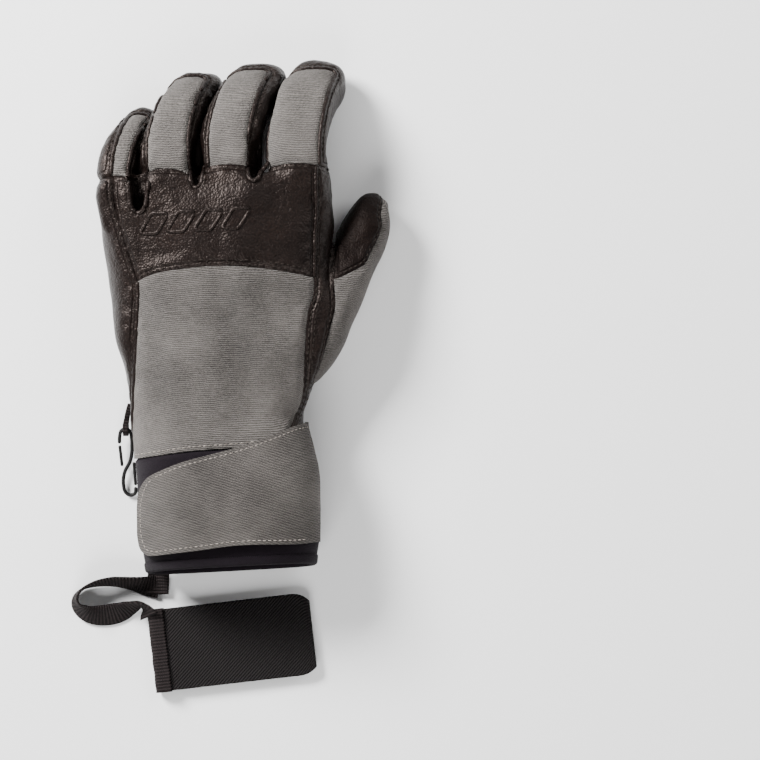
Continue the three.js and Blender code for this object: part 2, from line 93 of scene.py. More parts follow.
# The cuff, in the same order, then how far it slants for each millimetre of height.
CUFF = [
    [-125, -48.5, 36, 0.8, 49, 0.12],
    [-110, -51, 37.5, 0.8, 50, 0.1],
    [-92, -52.5, 36.5, 0.8, 50, 0.06],
    [-76, -53.5, 36, 1, 48.5, 0.03],
    [-63, -55, 33, 1.8, 46, 0],
    [-52, -56, 30, 3.4, 43, 0],
]
CUFF_END = -125
CUFF_MID_Z = 25
HAND_UPPER_POWER = 2.6
HAND_LOWER_POWER = 3.6
FINGER_POWER = 2.8
THUMB_POWER = 2.4

# Each finger: half its width and height, how far its tip leans, how much longer it is than the CAD finger,
# how it tapers, where its knuckle seam is, and how far its back fabric reaches from its centre: left at
# the root and tip, then right at the root and tip.
FINGER_SHAPES = {
    "little": {"half": (10.2, 12), "lean": 9, "longer": 1, "taper": 0.16, "seam_y": 70.5,
               "fabric": (-2.4, -4, 6, 8)},
    "ring": {"half": (13.8, 13.2), "lean": 12.5, "longer": 2, "taper": 0.1, "seam_y": 73.5,
             "fabric": (-9.8, -12.8, 12, 6)},
    "middle": {"half": (15.4, 13.4), "lean": 11, "longer": 2.2, "taper": 0.06, "seam_y": 75.5,
               "fabric": (-10.8, -14, 9.6, 9)},
    "index": {"half": (15.9, 13.4), "lean": 8.5, "longer": 1.2, "taper": 0.1, "seam_y": 76,
              "fabric": (-15.2, -15.4, 11.6, 11.6)},
}
FINGER_START = 26                    # how far behind its hinge a finger begins, inside the hand
FABRIC_CORNER = 3.5
FABRIC_END = 13                      # the fabric stops this far from the end of the finger
# The rolled edge round the bottom of each fork, in plan, and how deep the skin is let down inside it.
FORK_EDGES = {
    "little": [[-56, 69], [-55.4, 60], [-54, 55.2], [-50.8, 52.8], [-47.8, 55], [-46.4, 60], [-45.6, 69]],
    "ring": [[-26, 77], [-25.6, 70.4], [-24.6, 66.8], [-22.4, 65.2], [-20.2, 66.8], [-19.2, 70.4],
             [-18.4, 77]],
    "middle": [[2.4, 79], [2.8, 73], [3.7, 70], [6, 68.4], [8.4, 70], [9.4, 73], [10, 79]],
}
FORK_DEPTH = {"little": 9, "ring": 8, "middle": 7}

# The thumb: [x, y, z, half width, half height].
THUMB = [
    [26, -34, 22, 5, 9],
    [30, -21, 22, 11.5, 14],
    [36, -6, 22, 13.5, 16.5],
    [45, 10, 21.5, 13.6, 16.5],
    [52, 26, 19.5, 12.9, 15.5],
    [57.8, 40, 16.5, 12.2, 14],
    [61.2, 49.5, 14.8, 11.6, 13],
    [64, 57.6, 13.4, 9.6, 10.8],
    [65.4, 61.8, 12.6, 6.6, 7.6],
    [66.2, 64.4, 12, 2.4, 3],
]
THUMB_CLEAR_Y = 66                   # the thumb ends below this

PATCH_SIDES = (-54, 26)
STRAP_ROOT_X = 38.5
STRAP_RISE = 2.9                     # its underside above the cuff
STRAP_THICKNESS = 1.8

SKIN_VOXEL = 1.3
SKIN_INSET = 1.2                     # the skin is joined up small, then let out, so that fingers stay apart
LEATHER_THICKNESS = 1.0
PUFF = {"voxel": 2.6, "pressure": 5.0, "growth": 0.03, "limit": 2.4, "frames": 20}

# The leash's tape: [x, y, z, how far it is turned from lying flat, in degrees].
LEASH_ROUTE = [
    [-45, -134, 2.2, 0], [-50, -133.6, 3.6, 26], [-56, -132.6, 5.6, 50], [-62, -131.8, 6.2, 60],
    [-68, -131.4, 6.4, 66], [-76, -132.4, 6.8, 76], [-83, -135.2, 7, 90], [-86.2, -139.8, 6.8, 106],
    [-85, -144.4, 6, 124], [-79.6, -148, 4.6, 142], [-72, -148.6, 3.4, 154], [-65, -147.2, 3.4, 152],
    [-59, -144.4, 5.2, 130], [-54.4, -142.8, 6.6, 108], [-51, -144.4, 6.6, 112], [-49, -149, 7, 150],
]
WEBBING_WIDTH = 12
WEBBING_THICKNESS = 1.4
BAND = {"corner": (-48.9, -146.2), "z": 1.9, "turn": 6.6, "length": 81, "height": 41.5, "wall": 1.3,
        "inside": 1.2}
BINDING = {"width": 6.5, "thickness": 1.1}

# Plain raised flex bars on the knuckle leather.
BARS = {"x": (-43, -29.5, -16, -2.5), "y": 49, "width": 8.6, "height": 10, "lean": 3.0, "corner": 0.9}

# The clip, drawn flat from its pivot.
CLIP_CURVE = [[-3.3, -7.4], [-3.2, -4], [-2.4, -0.9], [-0.2, 0.1], [2, -0.9], [2.9, -4], [3, -11], [2, -16.4],
              [-0.6, -21.4], [-1.6, -26.5], [-0.9, -31.6], [1.6, -33.8], [4.4, -32.8], [4.7, -29.6]]
CLIP_GATES = {"upper_gate": [[-2.1, -19], [-3.2, -8.2]], "lower_gate": [[3.9, -16.8], [4.7, -28.8]]}
CLIP_TILT = math.radians(7)
CLIP_WIRE = 0.95

# ---------------- curves


def smooth_line(points, per_span=10):
    """A Catmull-Rom curve through points, as an array with per_span points for each span."""
    points = np.asarray(points, float)
    ends = np.vstack([2 * points[0] - points[1], points, 2 * points[-1] - points[-2]])
    t = np.arange(per_span)[:, None] / per_span
    spans = []
    for a, b, c, d in zip(ends, ends[1:], ends[2:], ends[3:]):
        curve = (2 * a - 5 * b + 4 * c - d) * t**2 + (3 * b - a - 3 * c + d) * t**3
        spans.append(0.5 * (2 * b + (c - a) * t + curve))
    return np.vstack([*spans, points[-1:]])


def across(line, axis=0):
    """A function of one plan coordinate that gives the other along a smooth line."""
    dense = smooth_line(line)
    dense = dense[np.argsort(dense[:, axis])]
    return lambda value: np.interp(value, dense[:, axis], dense[:, 1 - axis])


def gone_along(line):
    """The distance gone at each point of a line."""
    return np.r_[0, np.cumsum(np.linalg.norm(np.diff(line, axis=0), axis=1))]


def at_distances(line, wanted):
    gone = gone_along(line)
    return np.column_stack([np.interp(wanted, gone, column) for column in line.T])


def resample(line, count):
    """Points spaced evenly along a line."""
    line = np.asarray(line, float)
    return at_distances(line, np.linspace(0, gone_along(line)[-1], count))


def unit(vectors):
    return vectors / np.maximum(np.linalg.norm(vectors, axis=1, keepdims=True), 1e-9)


def tangents_of(line):
    return unit(np.gradient(line, axis=0))


def eased(value):
    """Zero to one with a soft start and end."""
    value = np.clip(value, 0, 1)
    return value**2 * (3 - 2 * value)


X, _, Z = np.eye(3)[:, None]         # directions that hold for every ring
hand_rows = smooth_line([[*row, 0] for row in HAND])        # the hand does not slant
cuff_rows = smooth_line(CUFF)

# Seams and edges in plan: y for an x, or x for a y.
knuckle_line = across([[-64, 16], [-51.8, 20], [-42, 23.5], [-29, 25.5], [-13, 27], [3, 26.5], [20, 24.5],
                       [36, 21.5], [48, 18]])
ulnar_line = across([[-63.5, 84], [-63.5, 72], [-63.3, 60], [-59, 41], [-53.5, 24.5], [-51.8, 18],
                     [-52.3, 4], [-54, -20], [-55.5, -40], [-57, -75]], 1)
radial_line = across([[37, 84], [36.6, 60], [36.2, 40], [36, 21.5], [35.3, 12], [32.5, 3], [31, -20],
                      [30, -38], [24, -53], [18, -75]], 1)
wrist_line = across([[-60, -69], [-54.5, -68.3], [-40, -66], [-25, -64], [-6, -62.6], [12, -60.5],
                     [24, -57], [31, -53], [40, -52]])
thumb_line = across([[31, -42], [34, -34], [39.5, -20], [43.5, -3.5], [46, 7.5], [45.2, 20], [44.6, 40],
                     [44.4, 60]], 1)
pad_side_line = across([[59, 20], [60, 26.5], [63, 32], [66, 39], [69, 47], [68.6, 54], [70, 64]], 1)
pad_foot_line = across([[36, 20.5], [46, 21.5], [54.5, 25], [62, 29]])
patch_top = across([[-55, 14], [-46, 34], [-20, 40], [12, 38], [27, 24]])
patch_bottom = across([[-55, -8], [-46, -26], [-24, -30], [4, -16], [22, 4], [27, 20]])
strap_top = across([[-52, -93], [-51.4, -87], [-50, -82.5], [-47.5, -79], [-44, -76.2], [-29.5, -69.8],
                    [-15, -65.6], [-0.5, -61.5], [14, -56.4], [29, -50.8], [41, -50]])
strap_bottom = across([[-52, -107], [-51.4, -111], [-50.3, -114.6], [-47.5, -117], [-43, -117.8],
                       [-21.5, -115.5], [-1, -112.8], [26, -112], [36, -110.5], [41, -110]])
# How high the palm's side seam is: z for a y.
palm_line = across([[-90, 15], [38, 15], [62, 27], [90, 28]])

# ---------------- forms: (points, faces, rest coordinates)


def ring_faces(rings, around, closed=False, capped=True):
    """The faces of a tube made of rings; a closed tube's last ring joins its first."""
    i, j = np.divmod(np.arange((rings if closed else rings - 1) * around), around)
    k, after = (j + 1) % around, (i + 1) % rings
    faces = np.column_stack([i * around + j, i * around + k, after * around + k, after * around + j]).tolist()
    if capped and not closed:
        faces += [list(range(around))[::-1], list(range((rings - 1) * around, rings * around))]
    return faces


def merge(forms):
    """Several forms as one."""
    points, faces, rest = zip(*forms)
    starts = np.cumsum([0] + [len(part) for part in points])
    faces = [[i + start for i in face] for part, start in zip(faces, starts) for face in part]
    return np.vstack(points), faces, np.vstack(rest)


def squared(value, power):
    """A superellipse's coordinate for a unit circle's."""
    return np.sign(value) * np.abs(value) ** (2 / power)


def tube(centres, sides, ups, halves, upper, lower, around):
    """A swept superellipse."""
    theta = 2 * np.pi * np.arange(around) / around
    cos, sin = np.cos(theta), np.sin(theta)
    power = np.where(sin < 0, lower, upper)
    rings = (centres[:, None] + sides[:, None] * (halves[:, :1] * squared(cos, power))[..., None]
             + ups[:, None] * (halves[:, 1:] * squared(sin, power))[..., None])
    points = rings.reshape(-1, 3)
    return points, ring_faces(len(centres), around), points


def sweep(line, side, out, section, size=None):
    """A bar along a line, with a section of (side, out) offsets that a size may scale."""
    size = np.ones(len(line)) if size is None else size
    offsets = np.asarray(section)[None] * size[:, None, None]
    rings = line[:, None] + side[:, None] * offsets[..., :1] + out[:, None] * offsets[..., 1:]
    beside, above = np.tile(section, (len(line), 1)).T
    rest = np.column_stack([beside, np.repeat(gone_along(line), len(section)), above])
    return rings.reshape(-1, 3), ring_faces(len(line), len(section)), rest


def circle(radius, flatten, around):
    angles = 2 * np.pi * np.arange(around) / around
    return np.column_stack([radius * np.cos(angles), radius * flatten * np.sin(angles)])


def tape_section(width, thickness):
    """A tape's section, with rounded edges."""
    upper = [(-0.5, 0.2), (-0.47, 0.45), (-0.3, 0.5), (0, 0.5), (0.3, 0.5), (0.47, 0.45), (0.5, 0.2)]
    return np.array(upper + [(x, -z) for x, z in upper[::-1]]) * [width, thickness]


def rounded_ends(line, radius):
    """The sizes along a rod that round its ends off."""
    gone = gone_along(line)
    near = np.clip(np.minimum(gone, gone[-1] - gone) / radius, 0, 1)
    return np.sqrt(np.clip(1 - (1 - near) ** 2, 0.01, 1))


def sections(rows, ys):
    """The hand's or the cuff's centres, half sizes and slant at some distances along it."""
    left, right, low, high, slant = (np.interp(ys, rows[:, 0], column) for column in rows[:, 1:].T)
    return (left + right) / 2, (low + high) / 2, (right - left) / 2, (high - low) / 2, slant


def trunk(rows, depth, ys, around=96):
    """A length of the hand or the cuff, taken in by a depth; the hem is higher on the thumb side."""
    middle_x, middle_z, half_x, half_z, slant = sections(rows, ys)
    centres = np.column_stack([middle_x, ys, middle_z])
    halves = np.column_stack([half_x, half_z]) - depth
    points, faces, _ = tube(centres, X, Z, halves, HAND_UPPER_POWER, HAND_LOWER_POWER, around)
    points[:, 1] += np.repeat(slant, around) * (points[:, 2] - CUFF_MID_Z)
    points[:, 1] += 0.055 * (points[:, 0] + 48) * eased((-104 - points[:, 1]) / 18)
    return points, faces, points


class Finger:
    """A finger's curled centre line, and any point's place along, beside and above it."""

    def __init__(self, name):
        shape = FINGER_SHAPES[name]
        self.name = name
        self.half, self.lean, self.taper = shape["half"], shape["lean"], shape["taper"]
        self.seam_y, self.fabric = shape["seam_y"], shape["fabric"]
        self.x, self.hinge_y, self.hinge_z = hinge(f"{name}_flex")
        end = max(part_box(f"{name}_{part}")[1][1] for part in ("back", "leather")) / MM - SHIFT[1]
        self.reach = end + shape["longer"] - self.half[1] - self.hinge_y
        tip_y, tip_z = self.hinge_y + self.reach, self.half[1] + 0.3
        drop = self.hinge_z - tip_z
        self.line = resample(smooth_line([
            [0, self.hinge_y - FINGER_START, self.hinge_z + 1],
            [0, self.hinge_y, self.hinge_z],
            [0, self.hinge_y + 0.6 * self.reach, self.hinge_z - 0.32 * drop],
            [0, tip_y, tip_z],
            [0, tip_y + 0.55 * self.half[1], tip_z - 0.83 * self.half[1]],
        ], 24), 90)
        self.tangents = tangents_of(self.line)
        self.length = gone_along(self.line)[-1]
        beyond = np.maximum(0, self.line[:, 1] - self.hinge_y) / self.reach
        self.line[:, 0] = self.x + self.lean * beyond**2

    def form(self, depth, around=48, base=0.0):
        """The finger taken in by a depth, from a share of its length to its tip."""
        round_part = self.half[1] - depth
        length = self.length - depth
        cap = length - round_part * np.cos(np.linspace(0.08, 1, 12) * np.pi / 2)
        places = np.r_[np.linspace(base * length, length - round_part, 30), cap]
        share = places / self.length * (len(self.line) - 1)
        index = np.arange(len(self.line))
        centres = np.column_stack([np.interp(share, index, column) for column in self.line.T])
        along = unit(np.column_stack([np.interp(share, index, column) for column in self.tangents.T]))
        from_tip = np.clip((length - places) / round_part, 0, 1)
        close = np.sqrt(np.clip(1 - (1 - from_tip) ** 2, 0.0004, 1))
        close *= 0.78 + 0.22 * np.clip(places / FINGER_START, 0, 1) ** 0.5
        width = self.half[0] * (1 - self.taper * (places / self.length) ** 2) - depth
        halves = np.column_stack([width * close, round_part * close])
        return tube(centres, X, np.cross(X, along), halves, FINGER_POWER, FINGER_POWER, around)

    def local(self, points):
        """For each point, its place along the finger, its side offset and its height above the centre line."""
        difference = points[:, None, 1:] - self.line[None, :, 1:]
        nearest = np.argmin((difference**2).sum(axis=2), axis=1)
        along = self.tangents[nearest]
        ups = np.cross(X, along)
        offset = points - self.line[nearest]
        place = nearest / (len(self.line) - 1) * self.length + (offset[:, 1:] * along[:, 1:]).sum(axis=1)
        return place, offset[:, 0], (offset[:, 1:] * ups[:, 1:]).sum(axis=1)

    def fabric_depth(self, points):
        """How far each point is inside the strip of back fabric, which has rounded corners at the tip."""
        place, beside, above = self.local(points)
        root = self.seam_y - self.line[0, 1]
        share = np.clip((place - root) / (self.length - root), 0, 1)
        left_root, left_tip, right_root, right_tip = self.fabric
        left = left_root + (left_tip - left_root) * share
        right = right_root + (right_tip - right_root) * share
        out = np.abs(beside - (left + right) / 2) - (right - left) / 2 + FABRIC_CORNER
        past = place - (self.length - FABRIC_END) + FABRIC_CORNER
        inside = np.minimum(np.maximum(out, past), 0)
        outside = np.hypot(np.maximum(out, 0), np.maximum(past, 0))
        return np.minimum(FABRIC_CORNER - inside - outside, above - 1)


FINGERS = {name: Finger(name) for name in FINGER_SHAPES}
ORDER = list(FINGERS)


def thumb_form(depth, around=48, first=0):
    rows = resample(smooth_line(THUMB), 40)[first:]
    centres = rows[:, :3].copy()
    along = tangents_of(centres)
    sides = unit(np.cross(along, Z))
    centres[-1] -= along[-1] * depth * 0.8
    halves = np.maximum(rows[:, 3:] - depth, 0.4)
    return tube(centres, sides, np.cross(sides, along), halves, THUMB_POWER, THUMB_POWER, around)


# ---------------- blender meshes


def mesh_object(name, form, material=None):
    """An object made of a form, with its rest coordinates kept for its weave."""
    points, faces, rest = form
    mesh = bpy.data.meshes.new(name)
    mesh.from_pydata(in_frame(points).tolist(), [], faces)
    mesh.update()
    mesh.polygons.foreach_set("use_smooth", [True] * len(mesh.polygons))
    cloth = mesh.attributes.new("cloth", "FLOAT_VECTOR", "POINT")
    cloth.data.foreach_set("vector", np.asarray(rest, np.float32).ravel())
    obj = bpy.data.objects.new(name, mesh)
    bpy.context.collection.objects.link(obj)
    if material:
        mesh.materials.append(MATERIALS[material])
    return obj


def evaluated(obj):
    """An object's mesh with its modifiers, as (drawn points, triangles); the object is removed."""
    graph = bpy.context.evaluated_depsgraph_get()
    mesh = bpy.data.meshes.new_from_object(obj.evaluated_get(graph))
    mesh.calc_loop_triangles()
    points = np.empty(len(mesh.vertices) * 3)
    mesh.vertices.foreach_get("co", points)
    triangles = np.empty(len(mesh.loop_triangles) * 3, np.int32)
    mesh.loop_triangles.foreach_get("vertices", triangles)
    bpy.data.objects.remove(obj)
    bpy.data.meshes.remove(mesh)
    return points.reshape(-1, 3) / MM - SHIFT, triangles.reshape(-1, 3)


def remeshed(form, voxel, smoothing=0):
    """A form joined up into one closed surface."""
    obj = mesh_object("join", form)
    remesh = obj.modifiers.new("join", "REMESH")
    remesh.mode = "VOXEL"
    remesh.voxel_size = voxel * MM
    soften = obj.modifiers.new("soften", "SMOOTH")
    soften.factor = 0.5
    soften.iterations = smoothing
    return evaluated(obj)


def vertex_normals(points, triangles):
    a, b, c = (points[triangles[:, k]] for k in range(3))
    normals = np.zeros_like(points)
    for k in range(3):
        np.add.at(normals, triangles[:, k], np.cross(b - a, c - a))
    return unit(normals)


def kd_tree(points):
    tree = KDTree(len(points))
    for i, point in enumerate(points):
        tree.insert(point, i)
    tree.balance()
    return tree


def noise_at(points, scale, shift=(0, 0, 0)):
    """Smooth noise at points, with a scale for each axis."""
    return np.array([noise.noise(Vector(p)) for p in points / scale + shift])


def settle(piece, body, node=None):
    """Binds a piece to a stiff body's empty; a piece of the strap, the thumb or a finger only has its
    transform baked in, and the bend worked out for it is not applied.
    """
    bend = None
    if body == "strap":
        bend = on_cuff(38.2, -85, 1), on_cuff(31, -85, 2)
    elif body == "thumb":
        bend = [41, 2, 20], [56, -4, 20]
    elif body in FINGERS:
        finger = FINGERS[body]
        start_y = finger.seam_y + 1.8
        bend = ([finger.x, start_y, finger.hinge_z],
                [finger.x, 2 * finger.hinge_y - start_y + 4, finger.hinge_z - 2])
    if bend:
        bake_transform(piece)
    else:
        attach(piece, body)
    if node:
        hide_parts(node)


# ---------------- materials


class Nodes:
    """A short way to write a material's nodes."""

    def __init__(self, name):
        self.material = bpy.data.materials.new(name)
        self.material.use_nodes = True
        self.tree = self.material.node_tree
        self.shader = self.tree.nodes["Principled BSDF"]

    def node(self, kind, inputs=None, **settings):
        node = self.tree.nodes.new(kind)
        for key, value in settings.items():
            setattr(node, key, value)
        for key, value in (inputs or {}).items():
            self.put(node.inputs[key], value)
        return node

    def put(self, socket, value):
        if isinstance(value, bpy.types.NodeSocket):
            self.tree.links.new(value, socket)
        else:
            socket.default_value = value

    def math(self, operation, a, b=0.0):
        return self.node("ShaderNodeMath", {0: a, 1: b}, operation=operation).outputs[0]

    def times(self, a, b):
        return self.math("MULTIPLY", a, b)

    def total(self, first, *others):
        for other in others:
            first = self.math("ADD", first, other)
        return first

    def wave(self, value, period):
        return self.math("SINE", self.times(value, 2 * math.pi / period))

    def rest(self):
        """The surface's rest coordinates, in millimetres."""
        return self.node("ShaderNodeAttribute", attribute_name="cloth").outputs["Vector"]

    def rest_xyz(self):
        return self.node("ShaderNodeSeparateXYZ", {0: self.rest()}).outputs

    def vector(self, operation, a, b):
        return self.node("ShaderNodeVectorMath", {0: a, 1: b}, operation=operation).outputs[0]

    def noise(self, scale, detail=3.0, roughness=0.55, vector=None, output="Fac"):
        inputs = {"Vector": vector or self.rest(), "Scale": scale, "Detail": detail, "Roughness": roughness}
        return self.node("ShaderNodeTexNoise", inputs).outputs[output]

    def near_seam(self, distance, width):
        """One along a line at a distance in millimetres from a panel's seams, falling to nothing beside it."""
        away = self.node("ShaderNodeAttribute", attribute_name="seam").outputs["Fac"]
        off = self.math("ABSOLUTE", self.total(away, -distance))
        return self.math("MAXIMUM", self.math("SUBTRACT", 1.0, self.times(off, 1 / width)), 0.0)

    def ramp(self, value, low, dark, high, light):
        node = self.node("ShaderNodeValToRGB", {"Fac": value})
        for element, place, color in zip(node.color_ramp.elements, (low, high), (dark, light)):
            element.position = place
            element.color = (*color, 1)
        return node.outputs["Color"]

    def finish(self, color, roughness, height=None, strength=0.9, distance=0.3, sheen=0.0, specular=0.3,
               tint=(1, 1, 1)):
        inputs = self.shader.inputs
        self.put(inputs["Base Color"], (*color, 1) if isinstance(color, tuple) else color)
        self.put(inputs["Roughness"], roughness)
        inputs["Sheen Weight"].default_value = sheen
        inputs["Sheen Roughness"].default_value = 0.5
        inputs["Specular IOR Level"].default_value = specular
        inputs["Specular Tint"].default_value = (*tint, 1)
        if height is not None:
            bump = {"Height": height, "Strength": strength, "Distance": distance * MM}
            self.put(inputs["Normal"], self.node("ShaderNodeBump", bump).outputs["Normal"])
        return self.material


def woven(name, light, dark, period=1.0, slant=0.05, depth=0.45, sheen=0.06, specular=0.15):
    """A fabric with ribs that run across it, a little slanted, broken into yarns, with broad patches of
    painted shade.
    """
    n = Nodes(name)
    x, y, z = n.rest_xyz()
    across_ribs = n.total(y, n.times(x, slant), n.times(z, 0.5), n.times(n.noise(0.12, 2.0), 1.2))
    yarn = n.total(x, n.times(across_ribs, 0.5))
    weave = n.total(n.times(n.wave(across_ribs, period), 0.55), n.times(n.wave(yarn, period * 0.62), 0.45))
    fuzz = n.noise(1.6, 4.0, 0.75)
    slub = n.noise(1.0, 2.0, vector=n.vector("MULTIPLY", n.rest(), (0.16, 1.1, 1.1)))
    # Painted shade: large soft patches of lighter and darker colour stand in for the broad shading across the
    # fabric.
    patches = n.times(n.noise(0.03), 0.5)
    shade = n.total(n.times(weave, 0.2), n.times(fuzz, 0.8), n.times(slub, 0.25), patches, -0.3)
    height = n.total(weave, n.times(fuzz, 1.6))
    return n.finish(n.ramp(shade, 0.2, dark, 0.78, light), 0.9, height, 0.9, depth, sheen, specular)


def leather(name, grain=0.95, specular=0.2, smooth=0.31):
    """Pebbled leather with creases, a groove beside its seams, and a painted highlight: warmer colour on the
    pebble tops, in broad patches.
    """
    n = Nodes(name)
    warped = n.vector("ADD", n.rest(), n.noise(0.5, 1.0, output="Color"))
    cells = n.node("ShaderNodeTexVoronoi", {"Vector": warped, "Scale": 1 / grain}, feature="SMOOTH_F1")
    pebble = n.math("SUBTRACT", 1.0, cells.outputs[0])
    fine = n.noise(1.4)
    height = n.total(n.times(pebble, 1.15), n.times(n.noise(0.16, 5.0, 0.6), 1.4), n.times(fine, 0.3),
                     n.times(n.noise(0.055, 2.0), 8.5), n.times(n.near_seam(2.2, 0.8), -1.6))
    # Painted highlight: the pebble tops are coloured warmer in broad patches, standing in for light catching
    # the grain.
    painted_highlight = n.times(n.math("POWER", n.math("MAXIMUM", pebble, 0.0), 2.0), n.math("POWER", n.noise(0.045), 2.0))
    color = n.ramp(painted_highlight, 0.0, (0.0022, 0.0014, 0.0014), 0.31, (0.008, 0.0045, 0.0034))
    roughness = n.total(n.times(fine, 0.25), smooth)
    return n.finish(color, roughness, height, 0.8, 0.34, 0.0, specular, (1.0, 0.83, 0.76))


def webbing(name, light, dark, period=1.6, twill=0.0, depth=0.4):
    """Tape with ribs across its length, or slanting ones for elastic."""
    n = Nodes(name)
    x, y, z = n.rest_xyz()
    ribs = n.wave(n.total(y, n.times(x, twill)), period)
    weave = n.total(n.times(ribs, 0.75), n.times(n.wave(x, period * 0.55), 0.25))
    fuzz = n.noise(1.8)
    color = n.ramp(n.total(n.times(weave, 0.3), fuzz), 0.15, dark, 0.9, light)
    return n.finish(color, 0.75, n.total(weave, n.times(fuzz, 0.7)), 0.9, depth, 0.0, 0.1)


def plastic(name):
    n = Nodes(name)
    grain = n.noise(3.0, 2.0)
    color = n.ramp(grain, 0.3, (0.005, 0.005, 0.005), 0.8, (0.012, 0.011, 0.011))
    return n.finish(color, 0.5, grain, 0.3, 0.05, 0.0, 0.16)


MATERIALS = {
    "fabric": woven("woven_grey", (0.2, 0.182, 0.168), (0.014, 0.012, 0.011)),
    "strap_fabric": woven("woven_strap", (0.155, 0.14, 0.128), (0.014, 0.012, 0.011), 1.3, 0.34),
    "leather": leather("goat_leather"),
    "grip_leather": leather("grip_leather", 0.8, 0.08, 0.4),
    "softshell": woven("softshell", (0.011, 0.0075, 0.011), (0.003, 0.002, 0.003), 0.9, 0.9, 0.15, 0.03, 0.08),
    "fleece": woven("brown_fleece", (0.045, 0.016, 0.012), (0.012, 0.005, 0.004), 2.2, 1.0, 0.6, 0.2),
    "wadding": woven("wadding", (0.6, 0.58, 0.55), (0.4, 0.38, 0.35), 3.0, 1.0, 0.5, 0.2),
    "webbing": webbing("ribbed_webbing", (0.024, 0.018, 0.018), (0.002, 0.0015, 0.0015)),
    "elastic": webbing("elastic_band", (0.018, 0.015, 0.015), (0.002, 0.0017, 0.0017), 1.7, -0.9),
    "tape": webbing("hook_tape", (0.015, 0.015, 0.015), (0.004, 0.004, 0.004), 0.8),
    "pale_thread": webbing("pale_thread", (0.5, 0.44, 0.4), (0.3, 0.26, 0.23), 0.5),
    "dark_thread": webbing("dark_thread", (0.05, 0.04, 0.034), (0.02, 0.015, 0.013), 0.5),
    "plastic": plastic("moulded_plastic"),
}

# ---------------- camera, floor and lights


def add_object(name, data):
    obj = bpy.data.objects.new(name, data)
    bpy.context.collection.objects.link(obj)
    return obj


def make_stage():
    camera = add_object("camera", bpy.data.cameras.new("camera"))
    camera.data.lens = 120
    camera.data.sensor_width = 36
    seen = 380 * MM
    x, y, _ = in_frame([68, -29, 0])
    camera.location = (x, y, seen * camera.data.lens / camera.data.sensor_width + 25 * MM)
    bpy.context.scene.camera = camera

    mesh = bpy.data.meshes.new("floor")
    mesh.from_pydata([(-3, -3, 0), (3, -3, 0), (3, 3, 0), (-3, 3, 0)], [], [(0, 1, 2, 3)])
    mesh.materials.append(Nodes("paper").finish((0.9, 0.9, 0.9), 0.95))
    add_object("floor", mesh)

    world = bpy.data.worlds.new("studio")
    world.use_nodes = True
    world.node_tree.nodes["Background"].inputs["Color"].default_value = (1, 1, 1, 1)
    world.node_tree.nodes["Background"].inputs["Strength"].default_value = 0.2
    bpy.context.scene.world = world
    for name, place, energy, width in (
        ("key", (-0.88, 0.74, 0.82), 78, 0.5),
        ("fill", (1.2, 0.7, 1.1), 16, 1.0),
        ("front", (-0.2, -1.35, 1.1), 30, 1.0),
    ):
        light = add_object(name, bpy.data.lights.new(name, "AREA"))
        light.data.energy = energy
        light.data.size = width
        light.location = place
        light.rotation_euler = (-Vector(place)).to_track_quat("-Z", "Y").to_euler()


# ---------------- leash and wristband


def band_place(points):
    """Points of the wristband, drawn from its top left corner, in their places."""
    turn = math.radians(BAND["turn"])
    x, y, z = points.T
    left, top = BAND["corner"]
    return np.column_stack([left + x * math.cos(turn) - y * math.sin(turn),
                            top + x * math.sin(turn) + y * math.cos(turn), z])


def make_band():
    """The elastic wristband: a strip round a flattened loop, with the corners of its free fold rounded off."""
    height, wall = BAND["height"], BAND["wall"]
    radius = (wall + BAND["inside"]) / 2
    flat = np.linspace(0, BAND["length"] - 2 * radius - wall, 60)
    bend = np.linspace(-np.pi / 2, np.pi / 2, 14)[1:-1]
    fold = np.column_stack([radius * np.cos(bend), radius * np.sin(bend)])
    loop = np.vstack([np.column_stack([flat, np.full(60, -radius)]), fold + [flat[-1], 0],
                      np.column_stack([flat[::-1], np.full(60, radius)]), -fold])
    over = loop[:, 1] > 0
    loop += radius + wall / 2
    normal = unit(np.roll(loop, -1, axis=0) - np.roll(loop, 1, axis=0))[:, ::-1] * [1, -1]
    from_end = np.clip((BAND["length"] - loop[:, 0]) / 9, 0, 1)
    trim = 6 * (1 - np.sqrt(1 - (1 - from_end) ** 2))
    rows = [(0, 0.25), (0.3, 0.5), *((t, 0.5) for t in np.linspace(1, height - 1, 30)), (height - 0.3, 0.5),
            (height, 0.25)]
    rows += [(t, -out) for t, out in rows[::-1]]
    points, rest = [], []
    for t, out in rows:
        x, z = (loop + normal * out * wall).T
        bulge = 0.35 * math.sin(t / height * math.pi) * over
        points.append(np.column_stack([x, -trim * 1.1 - t * (1 - 2 * trim / height), z + BAND["z"] + bulge]))
        rest.append(np.column_stack([gone_along(loop), np.full(len(loop), t), np.zeros(len(loop))]))
    form = band_place(np.vstack(points)), ring_faces(len(rows), len(loop), closed=True), np.vstack(rest)
    return mesh_object("elastic_wristband", form, "elastic")


def make_binding():
    """Webbing folded over the wristband's left edge, ribbed along it."""
    middle = BAND["wall"] + BAND["inside"] / 2
    reach = middle + 0.9
    bend = np.linspace(np.pi / 2, 3 * np.pi / 2, 14)[1:-1]
    flat = np.linspace(BINDING["width"], 1.5, 10)
    fold = np.column_stack([np.r_[flat, 1.5 + (reach - 0.2) * np.cos(bend), flat[::-1]],
                            np.r_[np.full(10, reach), reach * np.sin(bend), np.full(10, -reach)]])
    half = tangents_of(fold)[:, ::-1] * [-1, 1] * BINDING["thickness"] / 2
    gone = np.linspace(0, BAND["height"] + 0.6, 120)
    swell = 0.25 * noise_at(np.outer(gone, [1, 0, 0]), 5, (0, 0, 4))
    line = np.column_stack([swell, 0.3 - gone, np.full(120, BAND["z"] + middle)])
    ribs = 1 + 0.06 * np.sin(gone * 2 * math.pi / 1.6)
    points, faces, rest = sweep(line, X, Z, np.vstack([fold + half, (fold - half)[::-1]]), ribs)
    return mesh_object("webbing_binding", (band_place(points), faces, rest), "webbing")


